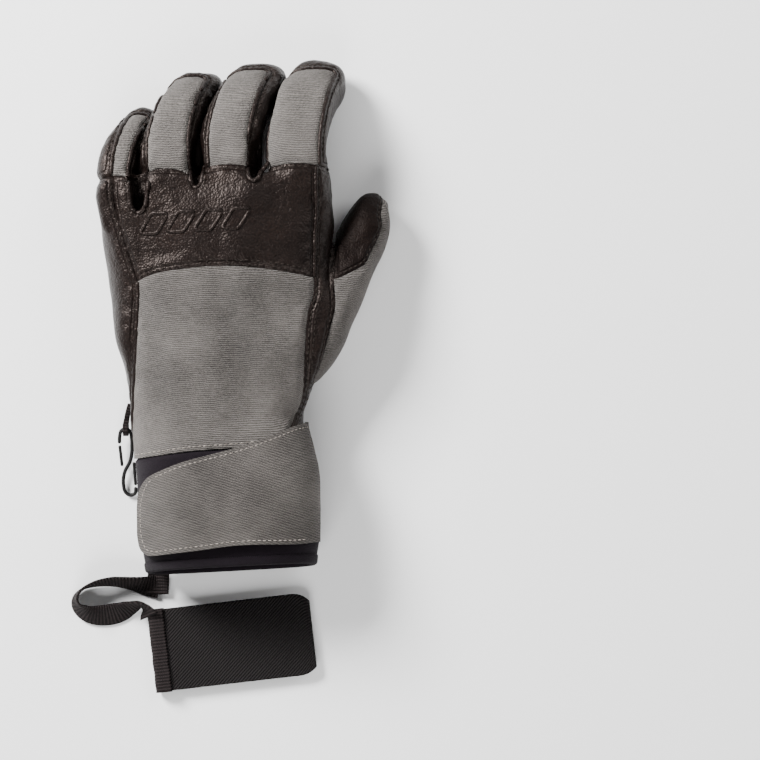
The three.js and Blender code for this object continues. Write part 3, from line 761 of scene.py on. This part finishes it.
def make_leash():
    """The loose tape, turned about its length as it bends, with the wristband on its far end."""
    dense = resample(smooth_line(LEASH_ROUTE, 12) * [1, 1, 1, 0.02], 160) / [1, 1, 1, 0.02]
    line, roll = dense[:, :3], np.radians(dense[:, 3:])
    along = tangents_of(line)
    flat = unit(np.cross(along, Z))
    side = flat * np.cos(roll) + np.cross(flat, along) * np.sin(roll)
    tape = mesh_object("webbing_leash", sweep(line, side, np.cross(side, along),
                                              tape_section(WEBBING_WIDTH, WEBBING_THICKNESS)), "webbing")
    band, binding = make_band(), make_binding()
    settle(tape, "hand", "leash_tape")
    settle(band, "hand", "wristband")
    settle(binding, "hand", "wristband_binding")


# ---------------- the skin and its panels


def cut_along(points, triangles, value, snap=0.12):
    """Splits triangles where a value given at the points changes sign, which makes edges of the zero line."""
    points, value = points.copy(), value.copy()
    edges = np.unique(np.sort(triangles[:, [0, 1, 1, 2, 2, 0]].reshape(-1, 2), axis=1), axis=0)
    a, b = edges[value[edges[:, 0]] * value[edges[:, 1]] < 0].T
    t = value[a] / (value[a] - value[b])
    where = points[a] + (points[b] - points[a]) * t[:, None]
    for near, rows in ((a, t < snap), (b, t > 1 - snap)):
        points[near[rows]] = where[rows]
        value[near[rows]] = 0
    keep = value[a] * value[b] < 0
    split = {(i, j): len(points) + k for k, (i, j) in enumerate(zip(a[keep].tolist(), b[keep].tolist()))}
    sign = np.sign(value[triangles])
    mixed = (sign.min(axis=1) < 0) & (sign.max(axis=1) > 0)
    extra = []
    for tri in triangles[mixed].tolist():
        mids = [split.get((min(i, j), max(i, j))) for i, j in zip(tri, tri[1:] + tri[:1])]
        cuts = [k for k in range(3) if mids[k] is not None]
        k = cuts[0] if len(cuts) == 1 else next(k for k in range(3) if mids[k] is None)
        i, j, other = tri[k], tri[(k + 1) % 3], tri[(k + 2) % 3]
        if len(cuts) == 1:
            extra += [[i, mids[k], other], [mids[k], j, other]]
        else:
            m, n = mids[(k + 1) % 3], mids[(k + 2) % 3]
            extra += [[i, j, m], [i, m, n], [m, other, n]]
    extra = np.array(extra, int).reshape(-1, 3)
    return np.vstack([points, where[keep]]), np.vstack([triangles[~mixed], extra])


def make_skin():
    """The hand, fingers and thumb as one smooth closed surface."""
    parts = [trunk(hand_rows, SKIN_INSET, np.linspace(-76, 72, 40)), thumb_form(SKIN_INSET)]
    parts += [finger.form(SKIN_INSET) for finger in FINGERS.values()]
    points, triangles = remeshed(merge(parts), SKIN_VOXEL, 9)
    return carve_forks(points + vertex_normals(points, triangles) * (SKIN_INSET + 0.15)), triangles


def fork_sides(name):
    """A fork's bottom, and its middle and half width at a distance along the hand, from its rolled edge."""
    edge = smooth_line(FORK_EDGES[name], 6)
    bottom = int(np.argmin(edge[:, 1]))
    left, right = edge[:bottom + 1][::-1], edge[bottom:]

    def at(y):
        a, b = np.interp(y, left[:, 1], left[:, 0]), np.interp(y, right[:, 1], right[:, 0])
        return (a + b) / 2, (b - a) / 2
    return edge[bottom, 1], at


def carve_forks(points):
    """Lets the skin down between the fingers, inside each fork's rolled edge."""
    points = points.copy()
    for name, depth in FORK_DEPTH.items():
        bottom, at = fork_sides(name)
        x, y, z = points.T
        middle, half = at(y)
        share = eased(np.minimum(half - np.abs(x - middle), (y - bottom) * 0.8) / 2.4)
        fade = np.clip((bottom + 26 - y) / 10, 0, 1) * np.clip((z - 24) / 6, 0, 1) * (y > bottom)
        points[:, 2] = z - depth * share * fade
    return points


def finger_of(points):
    """The index of the finger that each point is nearest, counted from the little finger."""
    return np.argmin([np.abs(finger.local(points)[1]) / finger.half[0] for finger in FINGERS.values()], axis=0)


def root_field(points):
    """How far each point is past its finger's knuckle seam, a shallow arch across the finger."""
    seam, middle, half = np.array([(f.seam_y, f.x, f.half[0]) for f in FINGERS.values()])[finger_of(points)].T
    return points[:, 1] - (seam + 1.6 - 2.4 * ((points[:, 0] - middle) / half) ** 2)


def fabric_field(name):
    def field(points):
        near = (finger_of(points) == ORDER.index(name)) & (root_field(points) > -3)
        return np.where(near, FINGERS[name].fabric_depth(points), -50.0)
    return field


def patch_field(points):
    """How far each point is inside the palm patch."""
    x, y, z = points.T
    left, right = PATCH_SIDES
    inside = np.minimum.reduce([patch_top(x) - y, y - patch_bottom(x), x - left, right - x])
    return np.where(z < 12, inside, -50.0)


def hand_field(value, beyond=50.0, limit=THUMB_CLEAR_Y + 12):
    """A seam's value on the hand, and a plain one beyond it."""
    return lambda points: np.where(points[:, 1] < limit, value(*points.T), beyond)


SEAM_FIELDS = [
    root_field,
    *[fabric_field(name) for name in ORDER],
    hand_field(lambda x, y, z: x - thumb_line(y), -50.0, THUMB_CLEAR_Y),
    hand_field(lambda x, y, z: x - ulnar_line(y)),
    hand_field(lambda x, y, z: x - radial_line(y)),
    hand_field(lambda x, y, z: z - palm_line(y)),
    hand_field(lambda x, y, z: y - knuckle_line(x)),
    hand_field(lambda x, y, z: y - wrist_line(x)),
    hand_field(lambda x, y, z: np.where((x > 42) & (y > 10), x - pad_side_line(y), 50.0)),
    hand_field(lambda x, y, z: np.where(x > 40, y - pad_foot_line(x), 50.0)),
    patch_field,
]


def panel_of(points):
    """The name of the panel that each point of the skin is in, or an empty name off the skin's end."""
    x, y, z = points.T
    which = finger_of(points)
    thumb = (y < THUMB_CLEAR_Y) & (x > thumb_line(y))
    name = np.full(len(points), "back_panel", dtype=object)
    name[y > knuckle_line(x)] = "knuckle_panel"
    name[x < ulnar_line(y)] = "ulnar_side_panel"
    name[x > radial_line(y)] = "radial_side_panel"
    name[z < palm_line(y)] = "palm_panel"
    name[patch_field(points) > 0] = "palm_patch"
    name[thumb] = "thumb_back"
    name[thumb & (x < pad_side_line(y)) & (y > pad_foot_line(x))] = "thumb_pad"
    on_finger = (root_field(points) > 0) & ~thumb
    for i, finger in enumerate(FINGERS.values()):
        name[on_finger & (which == i)] = f"{finger.name}_leather"
        name[on_finger & (which == i) & (finger.fabric_depth(points) > 0)] = f"{finger.name}_back"
    name[y < wrist_line(x)] = ""
    return name


def seam_edges(triangles, names):
    """Edges between two panels, and the two panels' names, joined, for each."""
    owner = np.repeat(np.arange(len(triangles)), 3)
    key = np.sort(triangles[:, [0, 1, 1, 2, 2, 0]].reshape(-1, 2), axis=1)
    order = np.lexsort((key[:, 1], key[:, 0]))
    key, owner = key[order], owner[order]
    first = np.nonzero((key[1:] == key[:-1]).all(axis=1))[0]
    pairs = np.array(["|".join(sorted(pair)) for pair in zip(names[owner[first]], names[owner[first + 1]])])
    differ = names[owner[first]] != names[owner[first + 1]]
    return key[first[differ]], pairs[differ]


def chains_of(edges):
    """Edges joined end to end, as lists of points, the longest possible from each free end."""
    links = {}
    for a, b in edges.tolist():
        links.setdefault(a, []).append(b)
        links.setdefault(b, []).append(a)
    left = {frozenset(edge) for edge in edges.tolist()}
    chains = []
    for start in sorted(links, key=lambda point: len(links[point]) == 2):
        for ahead in links[start]:
            chain = [start]
            while frozenset((chain[-1], ahead)) in left:
                left.discard(frozenset((chain[-1], ahead)))
                chain.append(ahead)
                if len(links[ahead]) == 2:
                    ahead = sum(links[ahead]) - chain[-2]
            chains.append(chain)
    return chains


def blown_out(form, seams):
    """A cloth pass on a coarse copy of the skin, sewn down at its seams: its points and how far each moves."""
    rest, triangles = remeshed(form, PUFF["voxel"])
    copy = mesh_object("puff", (rest, triangles.tolist(), rest))
    tree = kd_tree(seams)
    away = np.array([tree.find(p)[2] for p in rest])
    sewn = np.maximum(np.clip(1 - (away - 1.6) / 1.6, 0, 1), rest[:, 1] < wrist_line(rest[:, 0]) + 2)
    group = copy.vertex_groups.new(name="sewn")
    for index, weight in enumerate(sewn):
        group.add([index], float(weight), "REPLACE")
    cloth = copy.modifiers.new("cloth", "CLOTH")
    for key, value in {
        "quality": 4, "mass": 0.12, "tension_stiffness": 10, "compression_stiffness": 10, "shear_stiffness": 4,
        "bending_stiffness": 0.05, "use_pressure": True, "uniform_pressure_force": PUFF["pressure"],
        "shrink_min": -PUFF["growth"], "vertex_group_mass": "sewn",
    }.items():
        setattr(cloth.settings, key, value)
    cloth.settings.effector_weights.gravity = 0
    cloth.collision_settings.use_collision = False
    cloth.point_cache.frame_end = PUFF["frames"]
    for frame_number in range(1, PUFF["frames"] + 1):
        bpy.context.scene.frame_set(frame_number)
    moves = evaluated(copy)[0] - rest
    bpy.context.scene.frame_set(1)
    far = np.linalg.norm(moves, axis=1, keepdims=True)
    return rest, moves * np.tanh(far / PUFF["limit"]) * PUFF["limit"] / np.maximum(far, 1e-9)


def puffed(points, triangles, seams):
    """The skin moved as its coarse copy moved; the fingers, which are close together, move less."""
    rest, moves = blown_out((points, triangles.tolist(), points), seams)
    tree = kd_tree(rest)
    carried = []
    for point in points:
        _, near, away = zip(*tree.find_n(point, 4))
        weights = 1 / (np.array(away) + 0.2)
        carried.append(weights @ moves[list(near)] / weights.sum())
    on_fingers = np.clip((points[:, 1] - 70) / 12, 0, 1)
    return points + np.array(carried) * (1 - 0.5 * on_fingers)[:, None]


def sink_seams(points, triangles, away):
    """Draws the skin in near its seams, unevenly, so that the panels between them look padded and gathered."""
    slanted = points + points[:, [1]] * [0.15, 0, 0]
    folds = noise_at(points, [30, 20, 30]) + 1.3 * noise_at(slanted, [17, 55, 25])
    folds *= np.clip((points[:, 1] - wrist_line(points[:, 0]) - 1) / 14, 0, 1) * np.clip(away / 8, 0, 1)
    sunk = np.exp(-((away / 2.6) ** 2) * 1.6) * (1 + 0.5 * noise_at(points, 2.6))
    gathered = np.exp(-((away - 4) / 3) ** 2) * noise_at(points, 4.5, (9, 3, 1))
    inward = sunk + 0.6 * gathered + 1.7 * folds
    points = points - vertex_normals(points, triangles) * inward[:, None]
    points[:, 2] = np.maximum(points[:, 2], 0.05)
    return points


class Skin:
    """The finished skin: its points, triangles and panels, and its seams as ordered lines."""

    def __init__(self):
        points, triangles = make_skin()
        for field in SEAM_FIELDS:
            points, triangles = cut_along(points, triangles, field(points))
        names = panel_of(points[triangles].mean(axis=1))
        self.triangles, self.names = triangles[names != ""], names[names != ""]
        edges, pairs = seam_edges(self.triangles, self.names)
        seams = points[np.unique(edges)]
        tree = kd_tree(seams)
        self.away = np.array([tree.find(p)[2] for p in points])
        self.points = sink_seams(puffed(points, self.triangles, seams), self.triangles, self.away)
        self.tree = BVHTree.FromPolygons(self.points.tolist(), self.triangles.tolist())
        self.seams = {}
        for pair in sorted(set(pairs)):
            chains = [chain for chain in chains_of(edges[pairs == pair]) if len(chain) > 9]
            self.seams[pair] = [evened(self.points[chain]) for chain in chains]

    def nearest(self, points):
        """The skin's nearest points, their outward directions and the names of their panels."""
        places, normals, faces, _ = zip(*(self.tree.find_nearest(Vector(p)) for p in points))
        return np.array(places), np.array(normals), self.names[list(faces)]

    def under(self, plan):
        """The points of the skin's back that are under plan points."""
        places = []
        for x, y in plan:
            found = self.tree.ray_cast(Vector((x, y, 90)), Vector((0, 0, -1)))[0]
            places.append(found or self.tree.find_nearest(Vector((x, y, 44)))[0])
        return np.array(places)


def evened(line, passes=4, step=0.8):
    """A line with even steps and without its small zigzags."""
    line = resample(line, max(6, int(gone_along(line)[-1] / step)))
    for _ in range(passes):
        line = np.vstack([line[:1], (line[:-2] + 2 * line[1:-1] + line[2:]) / 4, line[-1:]])
    return line


def make_panel(name):
    used, inverse = np.unique(SKIN.triangles[SKIN.names == name], return_inverse=True)
    points = SKIN.points[used]
    body = name.split("_")[0]
    rest = points
    if body in FINGERS:
        place, beside, above = FINGERS[body].local(points)
        rest = np.column_stack([beside, place, above])
    fabric = name.endswith("back") or name == "back_panel"
    grip = name in ("thumb_pad", "palm_panel", "palm_patch")
    material = "fabric" if fabric else "grip_leather" if grip else "leather"
    obj = mesh_object(f"{name}_cover", (points, inverse.reshape(-1, 3).tolist(), rest), material)
    from_seam = obj.data.attributes.new("seam", "FLOAT", "POINT")
    from_seam.data.foreach_set("value", SKIN.away[used])
    thick = obj.modifiers.new("thickness", "SOLIDIFY")
    thick.thickness = LEATHER_THICKNESS * MM
    thick.offset = -1
    settle(obj, body_of(name), name)


def body_of(panel):
    first = panel.split("_")[0]
    return first if first in FINGERS or first == "thumb" else "hand"


# ---------------- stitches, piping and rolled edges


def round_cord(name, lines, radius, lift=0.3, flatten=0.85):
    """Rolled leather edges along lines on the skin, a little flattened."""
    parts = []
    for line in lines:
        along = tangents_of(line)
        normals = SKIN.nearest(line)[1]
        side = unit(np.cross(along, normals))
        parts.append(sweep(line + normals * lift, side, np.cross(side, along), circle(radius, flatten, 10),
                           rounded_ends(line, 2 * radius)))
    return mesh_object(name, merge(parts), "leather")


def spaced(line, pitch, margin):
    """Places along a line a pitch apart, and its directions there."""
    wanted = np.arange(margin, gone_along(line)[-1] - margin, pitch)
    places = at_distances(line, wanted)
    return places, unit(at_distances(line, wanted + 0.5) - places)


def stitches(name, rows, material, length=2.1, radius=0.34):
    """Short rounded stitches lying on a surface, from rows of places, directions and outward normals."""
    places, along, normals = (np.vstack(part) for part in zip(*rows))
    side = unit(np.cross(along, normals))
    out = np.cross(side, along)
    points = []
    for t, size in ((-0.5, 0), (-0.36, 0.8), (-0.12, 1), (0.12, 1), (0.36, 0.8), (0.5, 0)):
        for x, z in circle(radius * size, 0.75, 6):
            points.append(places + along * (t * length) + side * x + out * (z - 1.1 * radius * (2 * t) ** 2))
    faces = np.array(ring_faces(6, 6, capped=False)) + (36 * np.arange(len(places)))[:, None, None]
    points = np.stack(points, axis=1).reshape(-1, 3)
    return mesh_object(name, (points, faces.reshape(-1, 4).tolist(), points), material)


def stitch_row(line, panel, offset):
    """A row of stitches at a distance from a seam, on the side of it that a panel lies."""
    side = unit(np.cross(tangents_of(line), SKIN.nearest(line)[1])) * offset
    rows = [SKIN.nearest(line + side * way) for way in (1, -1)]
    row, _, names = max(rows, key=lambda found: (found[2] == panel).sum())
    row = row[names == panel]
    if len(row) < 12:
        return None
    places, along = spaced(row, 3.0, 3.0)
    places, normals, _ = SKIN.nearest(places)
    return places + normals * 0.12, along, normals


def sewn_seams():
    """Which seams get stitches: the seam, the panel they lie on and how far from it."""
    yield "back_panel|knuckle_panel", "knuckle_panel", 1.7
    yield "back_panel|knuckle_panel", "knuckle_panel", 3.6
    yield "back_panel|ulnar_side_panel", "ulnar_side_panel", 1.8
    yield "back_panel|radial_side_panel", "radial_side_panel", 1.8
    yield "back_panel|radial_side_panel", "radial_side_panel", 4.2
    yield "knuckle_panel|ulnar_side_panel", "ulnar_side_panel", 1.8
    yield "knuckle_panel|radial_side_panel", "radial_side_panel", 1.8
    yield "palm_panel|palm_patch", "palm_patch", 2.0
    yield "thumb_back|thumb_pad", "thumb_pad", 1.6
    yield "radial_side_panel|thumb_back", "radial_side_panel", 1.8
    for name in FINGERS:
        yield "|".join(sorted((f"{name}_back", "knuckle_panel"))), "knuckle_panel", 1.6
        yield f"{name}_back|{name}_leather", f"{name}_leather", 2.4


def make_sewing():
    rows = {}
    for seam, panel, offset in sewn_seams():
        for line in SKIN.seams.get(seam, []):
            row = stitch_row(line, panel, offset)
            if row:
                rows.setdefault(body_of(panel), []).append(row)
    for body, found in rows.items():
        settle(stitches(f"{body}_dark_thread", found, "dark_thread"), body)
    xs = np.linspace(-53.5, 24, 200)
    places, along = spaced(evened(SKIN.under(np.column_stack([xs, wrist_line(xs) + 2]))), 2.6, 1.0)
    places, normals, _ = SKIN.nearest(places)
    row = places + normals * 0.14, along, normals
    settle(stitches("wrist_stitches", [row], "pale_thread", 1.9, 0.26), "hand")


def make_edges():
    """Rolled leather along the fingers' side seams, down the hand's edges and round the forks."""
    for name in FINGERS:
        lines = SKIN.seams[f"{name}_back|{name}_leather"]
        settle(round_cord(f"{name}_piping", lines, 1.15, 0.35), name)
    hand = ("knuckle_panel|radial_side_panel", "back_panel|ulnar_side_panel", "palm_panel|ulnar_side_panel",
            "palm_panel|radial_side_panel", "palm_panel|thumb_back")
    lines = [line for key in hand for line in SKIN.seams.get(key, []) if len(line) > 15]
    settle(round_cord("hand_piping", lines, 1.05), "hand")
    lines = [evened(SKIN.under(smooth_line(plan, 8)), 1) for plan in FORK_EDGES.values()]
    settle(round_cord("fork_piping", lines, 1.25, 0.4), "hand")


def make_webs():
    """The leather that closes the bottom of each fork, a round tongue about the neighbouring hinges."""
    for left, right in zip(ORDER, ORDER[1:]):
        bottom, at = fork_sides(left)
        x, y = at(bottom)[0], (FINGERS[left].hinge_y + FINGERS[right].hinge_y) / 2
        line = np.array([[x + out, y, 21.5] for out in (-3.4, -2.6, 0, 2.6, 3.4)])
        web = sweep(line, np.array([[0, 1.0, 0]]), Z, circle(1, 1, 40), np.array([11, 12.6, 13.4, 12.6, 11]))
        settle(mesh_object(f"{left}_web", web, "leather"), "hand")


def make_bars():
    """Plain raised flex bars on the knuckle leather, each a leaning outline."""
    lines = []
    half_x, half_y, corner = BARS["width"] / 2, BARS["height"] / 2, BARS["corner"]
    for x in BARS["x"]:
        outline = []
        for quarter, (way_x, way_y) in enumerate(((1, 1), (-1, 1), (-1, -1), (1, -1))):
            for angle in (np.linspace(0, 1, 5) + quarter) * np.pi / 2:
                up = way_y * (half_y - corner) + corner * math.sin(angle)
                beside = way_x * (half_x - corner) + corner * math.cos(angle) + BARS["lean"] * up / half_y
                outline.append([x + beside, BARS["y"] + up + 0.06 * (x + 25)])
        lines.append(evened(SKIN.under(resample([*outline, outline[0]], 60)), 2, 0.7))
    settle(round_cord("flex_bars", lines, 0.95, 0.0, 0.62), "hand")


# ---------------- cuff, strap and inner layers


def layer(name, rows, depth, thickness, ys, material, around=96):
    """An open layer of the hand or the cuff, with walls of a thickness."""
    outer, _, _ = trunk(rows, depth, ys, around)
    inner, _, _ = trunk(rows, depth + thickness, ys, around)
    points = np.vstack([outer, inner.reshape(len(ys), around, 3)[::-1].reshape(-1, 3)])
    return mesh_object(name, (points, ring_faces(2 * len(ys), around, closed=True), points), material)


def on_cuff(x, y, rise):
    """The point over the cuff's back at a plan point, at a rise above it; past its side it goes down."""
    edge = 0.995
    middle_x, middle_z, half_x, half_z, slant = sections(cuff_rows, y)
    half_x, half_z = half_x + rise, half_z + rise
    share = np.clip((x - middle_x) / half_x, -edge, edge)
    z = middle_z + half_z * (1 - abs(share) ** HAND_UPPER_POWER) ** (1 / HAND_UPPER_POWER)
    down = max(0.0, x - middle_x - edge * half_x)
    across_x = middle_x + half_x * (share + 0.005 * min(1, down / 3))
    return [across_x, y + slant * (z - down - CUFF_MID_Z), z - down]


def sheet_on_cuff(name, xs, rows, rise_of, thickness, material):
    """A sheet on the cuff: for each x, a row of y values; rise_of gives its height above the cuff."""
    points = []
    for x, row in zip(xs, rows):
        points += [on_cuff(x, y, rise_of(x) + thickness) for y in row]
        points += [on_cuff(x, y, rise_of(x)) for y in row[::-1]]
    rest = [[x, y, 0] for x, row in zip(xs, rows) for y in [*row, *row[::-1]]]
    obj = mesh_object(name, (np.array(points), ring_faces(len(xs), 2 * len(rows[0])), rest), material)
    edge = obj.modifiers.new("edge", "BEVEL")
    edge.width = 0.5 * MM
    edge.segments = 2
    edge.limit_method = "ANGLE"
    edge.angle_limit = math.radians(50)
    return obj


def strap_rise(x):
    """The strap is sewn down at its root and lies over the hook and loop patches further on."""
    return 0.35 + (STRAP_RISE - 0.35) * float(np.clip((36 - x) / 30, 0, 1)) ** 0.8


def make_strap():
    xs = np.r_[-52, -51.9, -51.6, -51, -50, -48.5, -46.5, np.linspace(-44, STRAP_ROOT_X, 60)]
    shares = np.r_[0, 0.01, 0.025, np.linspace(0.05, 0.95, 34), 0.975, 0.99, 1]
    rows = [strap_bottom(x) + (strap_top(x) - strap_bottom(x)) * shares for x in xs]
    strap = sheet_on_cuff("closure_strap_fabric", xs, rows, strap_rise, STRAP_THICKNESS, "strap_fabric")
    settle(strap, "strap", "closure_strap")

    along_edge = np.linspace(-43, 33, 300)
    end = smooth_line([[-43, -115.8], [-46.6, -114.8], [-48.6, -111.5], [-49.8, -106], [-50, -93],
                       [-48.6, -86], [-46.4, -81], [-43, -78]])
    rows = []
    for plan in (np.column_stack([along_edge, strap_top(along_edge) - 2.1]),
                 np.column_stack([along_edge, strap_bottom(along_edge) + 2]), end):
        line = np.array([on_cuff(x, y, strap_rise(x) + STRAP_THICKNESS + 0.1) for x, y in plan])
        places, along = spaced(line, 2.6, 1.5)
        middle_x, middle_z, *_ = sections(cuff_rows, places[:, 1])
        outward = places - np.column_stack([middle_x, places[:, 1], middle_z - 12])
        rows.append((places, along, unit(outward * [0.35, 1, 1])))
    settle(stitches("strap_stitches", rows, "pale_thread", 1.8, 0.24), "strap")


def tuck_under_hand(obj):
    """The cuff's upper end is drawn in, where the hand's panels lie over it."""
    points = np.array([v.co for v in obj.data.vertices]) / MM - SHIFT
    under = np.clip((points[:, 1] - wrist_line(points[:, 0]) + 1.5) / 2.5, 0, 1)
    inward = unit(([-11, 0, 23.5] - points) * [1, 0, 1])
    obj.data.vertices.foreach_set("co", in_frame(points + inward * (under * 2.2)[:, None]).ravel())


def make_hem():
    """The hem's roll: a closed profile of (distance from the rim, depth), carried round the cuff."""
    profile = [(4.2, -0.1), (4, -0.45), (3.4, -0.6), (0.6, -0.65), (-0.2, -0.3), (-0.7, 0.5), (-0.8, 1.3),
               (-0.5, 2.2), (0.4, 2.9), (3.4, 2.95), (4, 2.8), (4.2, 2.4)]
    rings = []
    for forward, depth in profile:
        ring = trunk(cuff_rows, depth, np.full(2, CUFF_END + max(forward, 0.0)), 144)[0][:144]
        rings.append(ring + [0, min(forward, 0.0), 0])
    points = np.vstack(rings)
    return mesh_object("hem_roll", (points, ring_faces(len(profile), 144, closed=True), points), "softshell")


def make_cuff():
    shell = layer("cuff_softshell", cuff_rows, 0, 1.1, np.linspace(-54, -124.6, 90), "softshell", 120)
    tuck_under_hand(shell)
    settle(shell, "hand", "cuff_shell")
    lining = layer("cuff_fleece", cuff_rows, 1.3, 1.3, np.linspace(-60, -124.2, 30), "fleece")
    settle(lining, "hand", "cuff_lining")
    settle(make_hem(), "hand", "hem_binding")
    for name, node, body, x, y, rise, thickness in (
        ("loop_field", "loop_patch", "hand", (-42, -8), (-108, -82), 0.1, 1.0),
        ("hook_field", "hook_patch", "strap", (-40, -14), (-106, -84), 1.6, 0.9),
    ):
        rows = np.tile(np.linspace(*y, 16), (20, 1))
        patch = sheet_on_cuff(name, np.linspace(*x, 20), rows, lambda _, rise=rise: rise, thickness, "tape")
        settle(patch, body, node)


def make_layers():
    """The wadding and the linings, inside the skin."""
    for material, depth, thickness, node, slot in (
        ("wadding", 2.6, 1.8, "insulation", "wadding"),
        ("fleece", 4.7, 1.0, "lining", "fleece_lining"),
    ):
        ys = np.linspace(-60, 52, 30)
        pieces = {"hand": layer(f"hand_{material}", hand_rows, depth, thickness, ys, material, 72)}
        for name, finger in FINGERS.items():
            points, faces, _ = finger.form(depth, 48, base=0.3)
            pieces[name] = mesh_object(f"{name}_{material}", (carve_forks(points), faces, points), material)
        pieces["thumb"] = mesh_object(f"thumb_{material}", thumb_form(depth, 32, first=9), material)
        for body, piece in pieces.items():
            settle(piece, body, f"{body}_{node}")
    elastic = layer("wrist_gather", hand_rows, 1.3, 1.2, np.linspace(-52, -42, 8), "elastic", 72)
    settle(elastic, "hand", "wrist_elastic")


# ---------------- clip and tabs


def clip_rod(name, curve, radius, body, node):
    """A round moulded rod of the clip, along a curve drawn flat."""
    x, y = resample(curve, 220).T
    line = np.column_stack([x, y * math.cos(CLIP_TILT), y * math.sin(CLIP_TILT)]) + hinge("clip_swing")
    along = tangents_of(line)
    side = unit(np.cross(along, Z))
    rod = sweep(line, side, np.cross(side, along), circle(radius, 1, 14), rounded_ends(line, radius))
    settle(mesh_object(name, rod, "plastic"), body, node)


def make_tab(name, points, width, thickness, node):
    """Webbing whose width stays along X and that bends in the upright plane."""
    line = resample(points, 120)
    tab = sweep(line, X, unit(np.cross(X, tangents_of(line))), tape_section(width, thickness))
    settle(mesh_object(name, tab, "webbing"), "hand", node)


def make_clip():
    clip_rod("clip_wire", smooth_line(CLIP_CURVE, 16), CLIP_WIRE, "clip", "clip_frame")
    for gate, curve in CLIP_GATES.items():
        clip_rod(f"{gate}_bar", curve, CLIP_WIRE * 0.85, gate, gate)
    x, y, z = hinge("clip_swing")
    turns = np.linspace(-0.6, 0.6 - 2 * math.pi, 40)
    eye = [[x, y + 3.2 * math.cos(turn) + 0.2, z + 3 * math.sin(turn)] for turn in turns]
    points = [[x + 3, -41, 13], [x + 2, -44, 11.8], [x + 1, -47.5, 9.6], *eye[1:-1], [x + 1, -47.5, 8.4],
              [x + 2, -44, 10.6], [x + 3, -41, 11.8]]
    make_tab("clip_webbing", points, 2.8, 1.0, "clip_tab")
    points = [[-44.5, -124, 4.5], [-44.6, -128, 3.6], [-44.8, -132, 2.8], [-45, -138, 2.5]]
    make_tab("hem_tab", points, 11, 1.2, "leash_anchor")


# ---------------- the making, cords first

make_stage()
make_leash()
SKIN = Skin()
for panel in sorted(set(SKIN.names)):
    make_panel(panel)
make_edges()
make_webs()
make_sewing()
make_bars()
make_cuff()
make_strap()
make_layers()
make_clip()
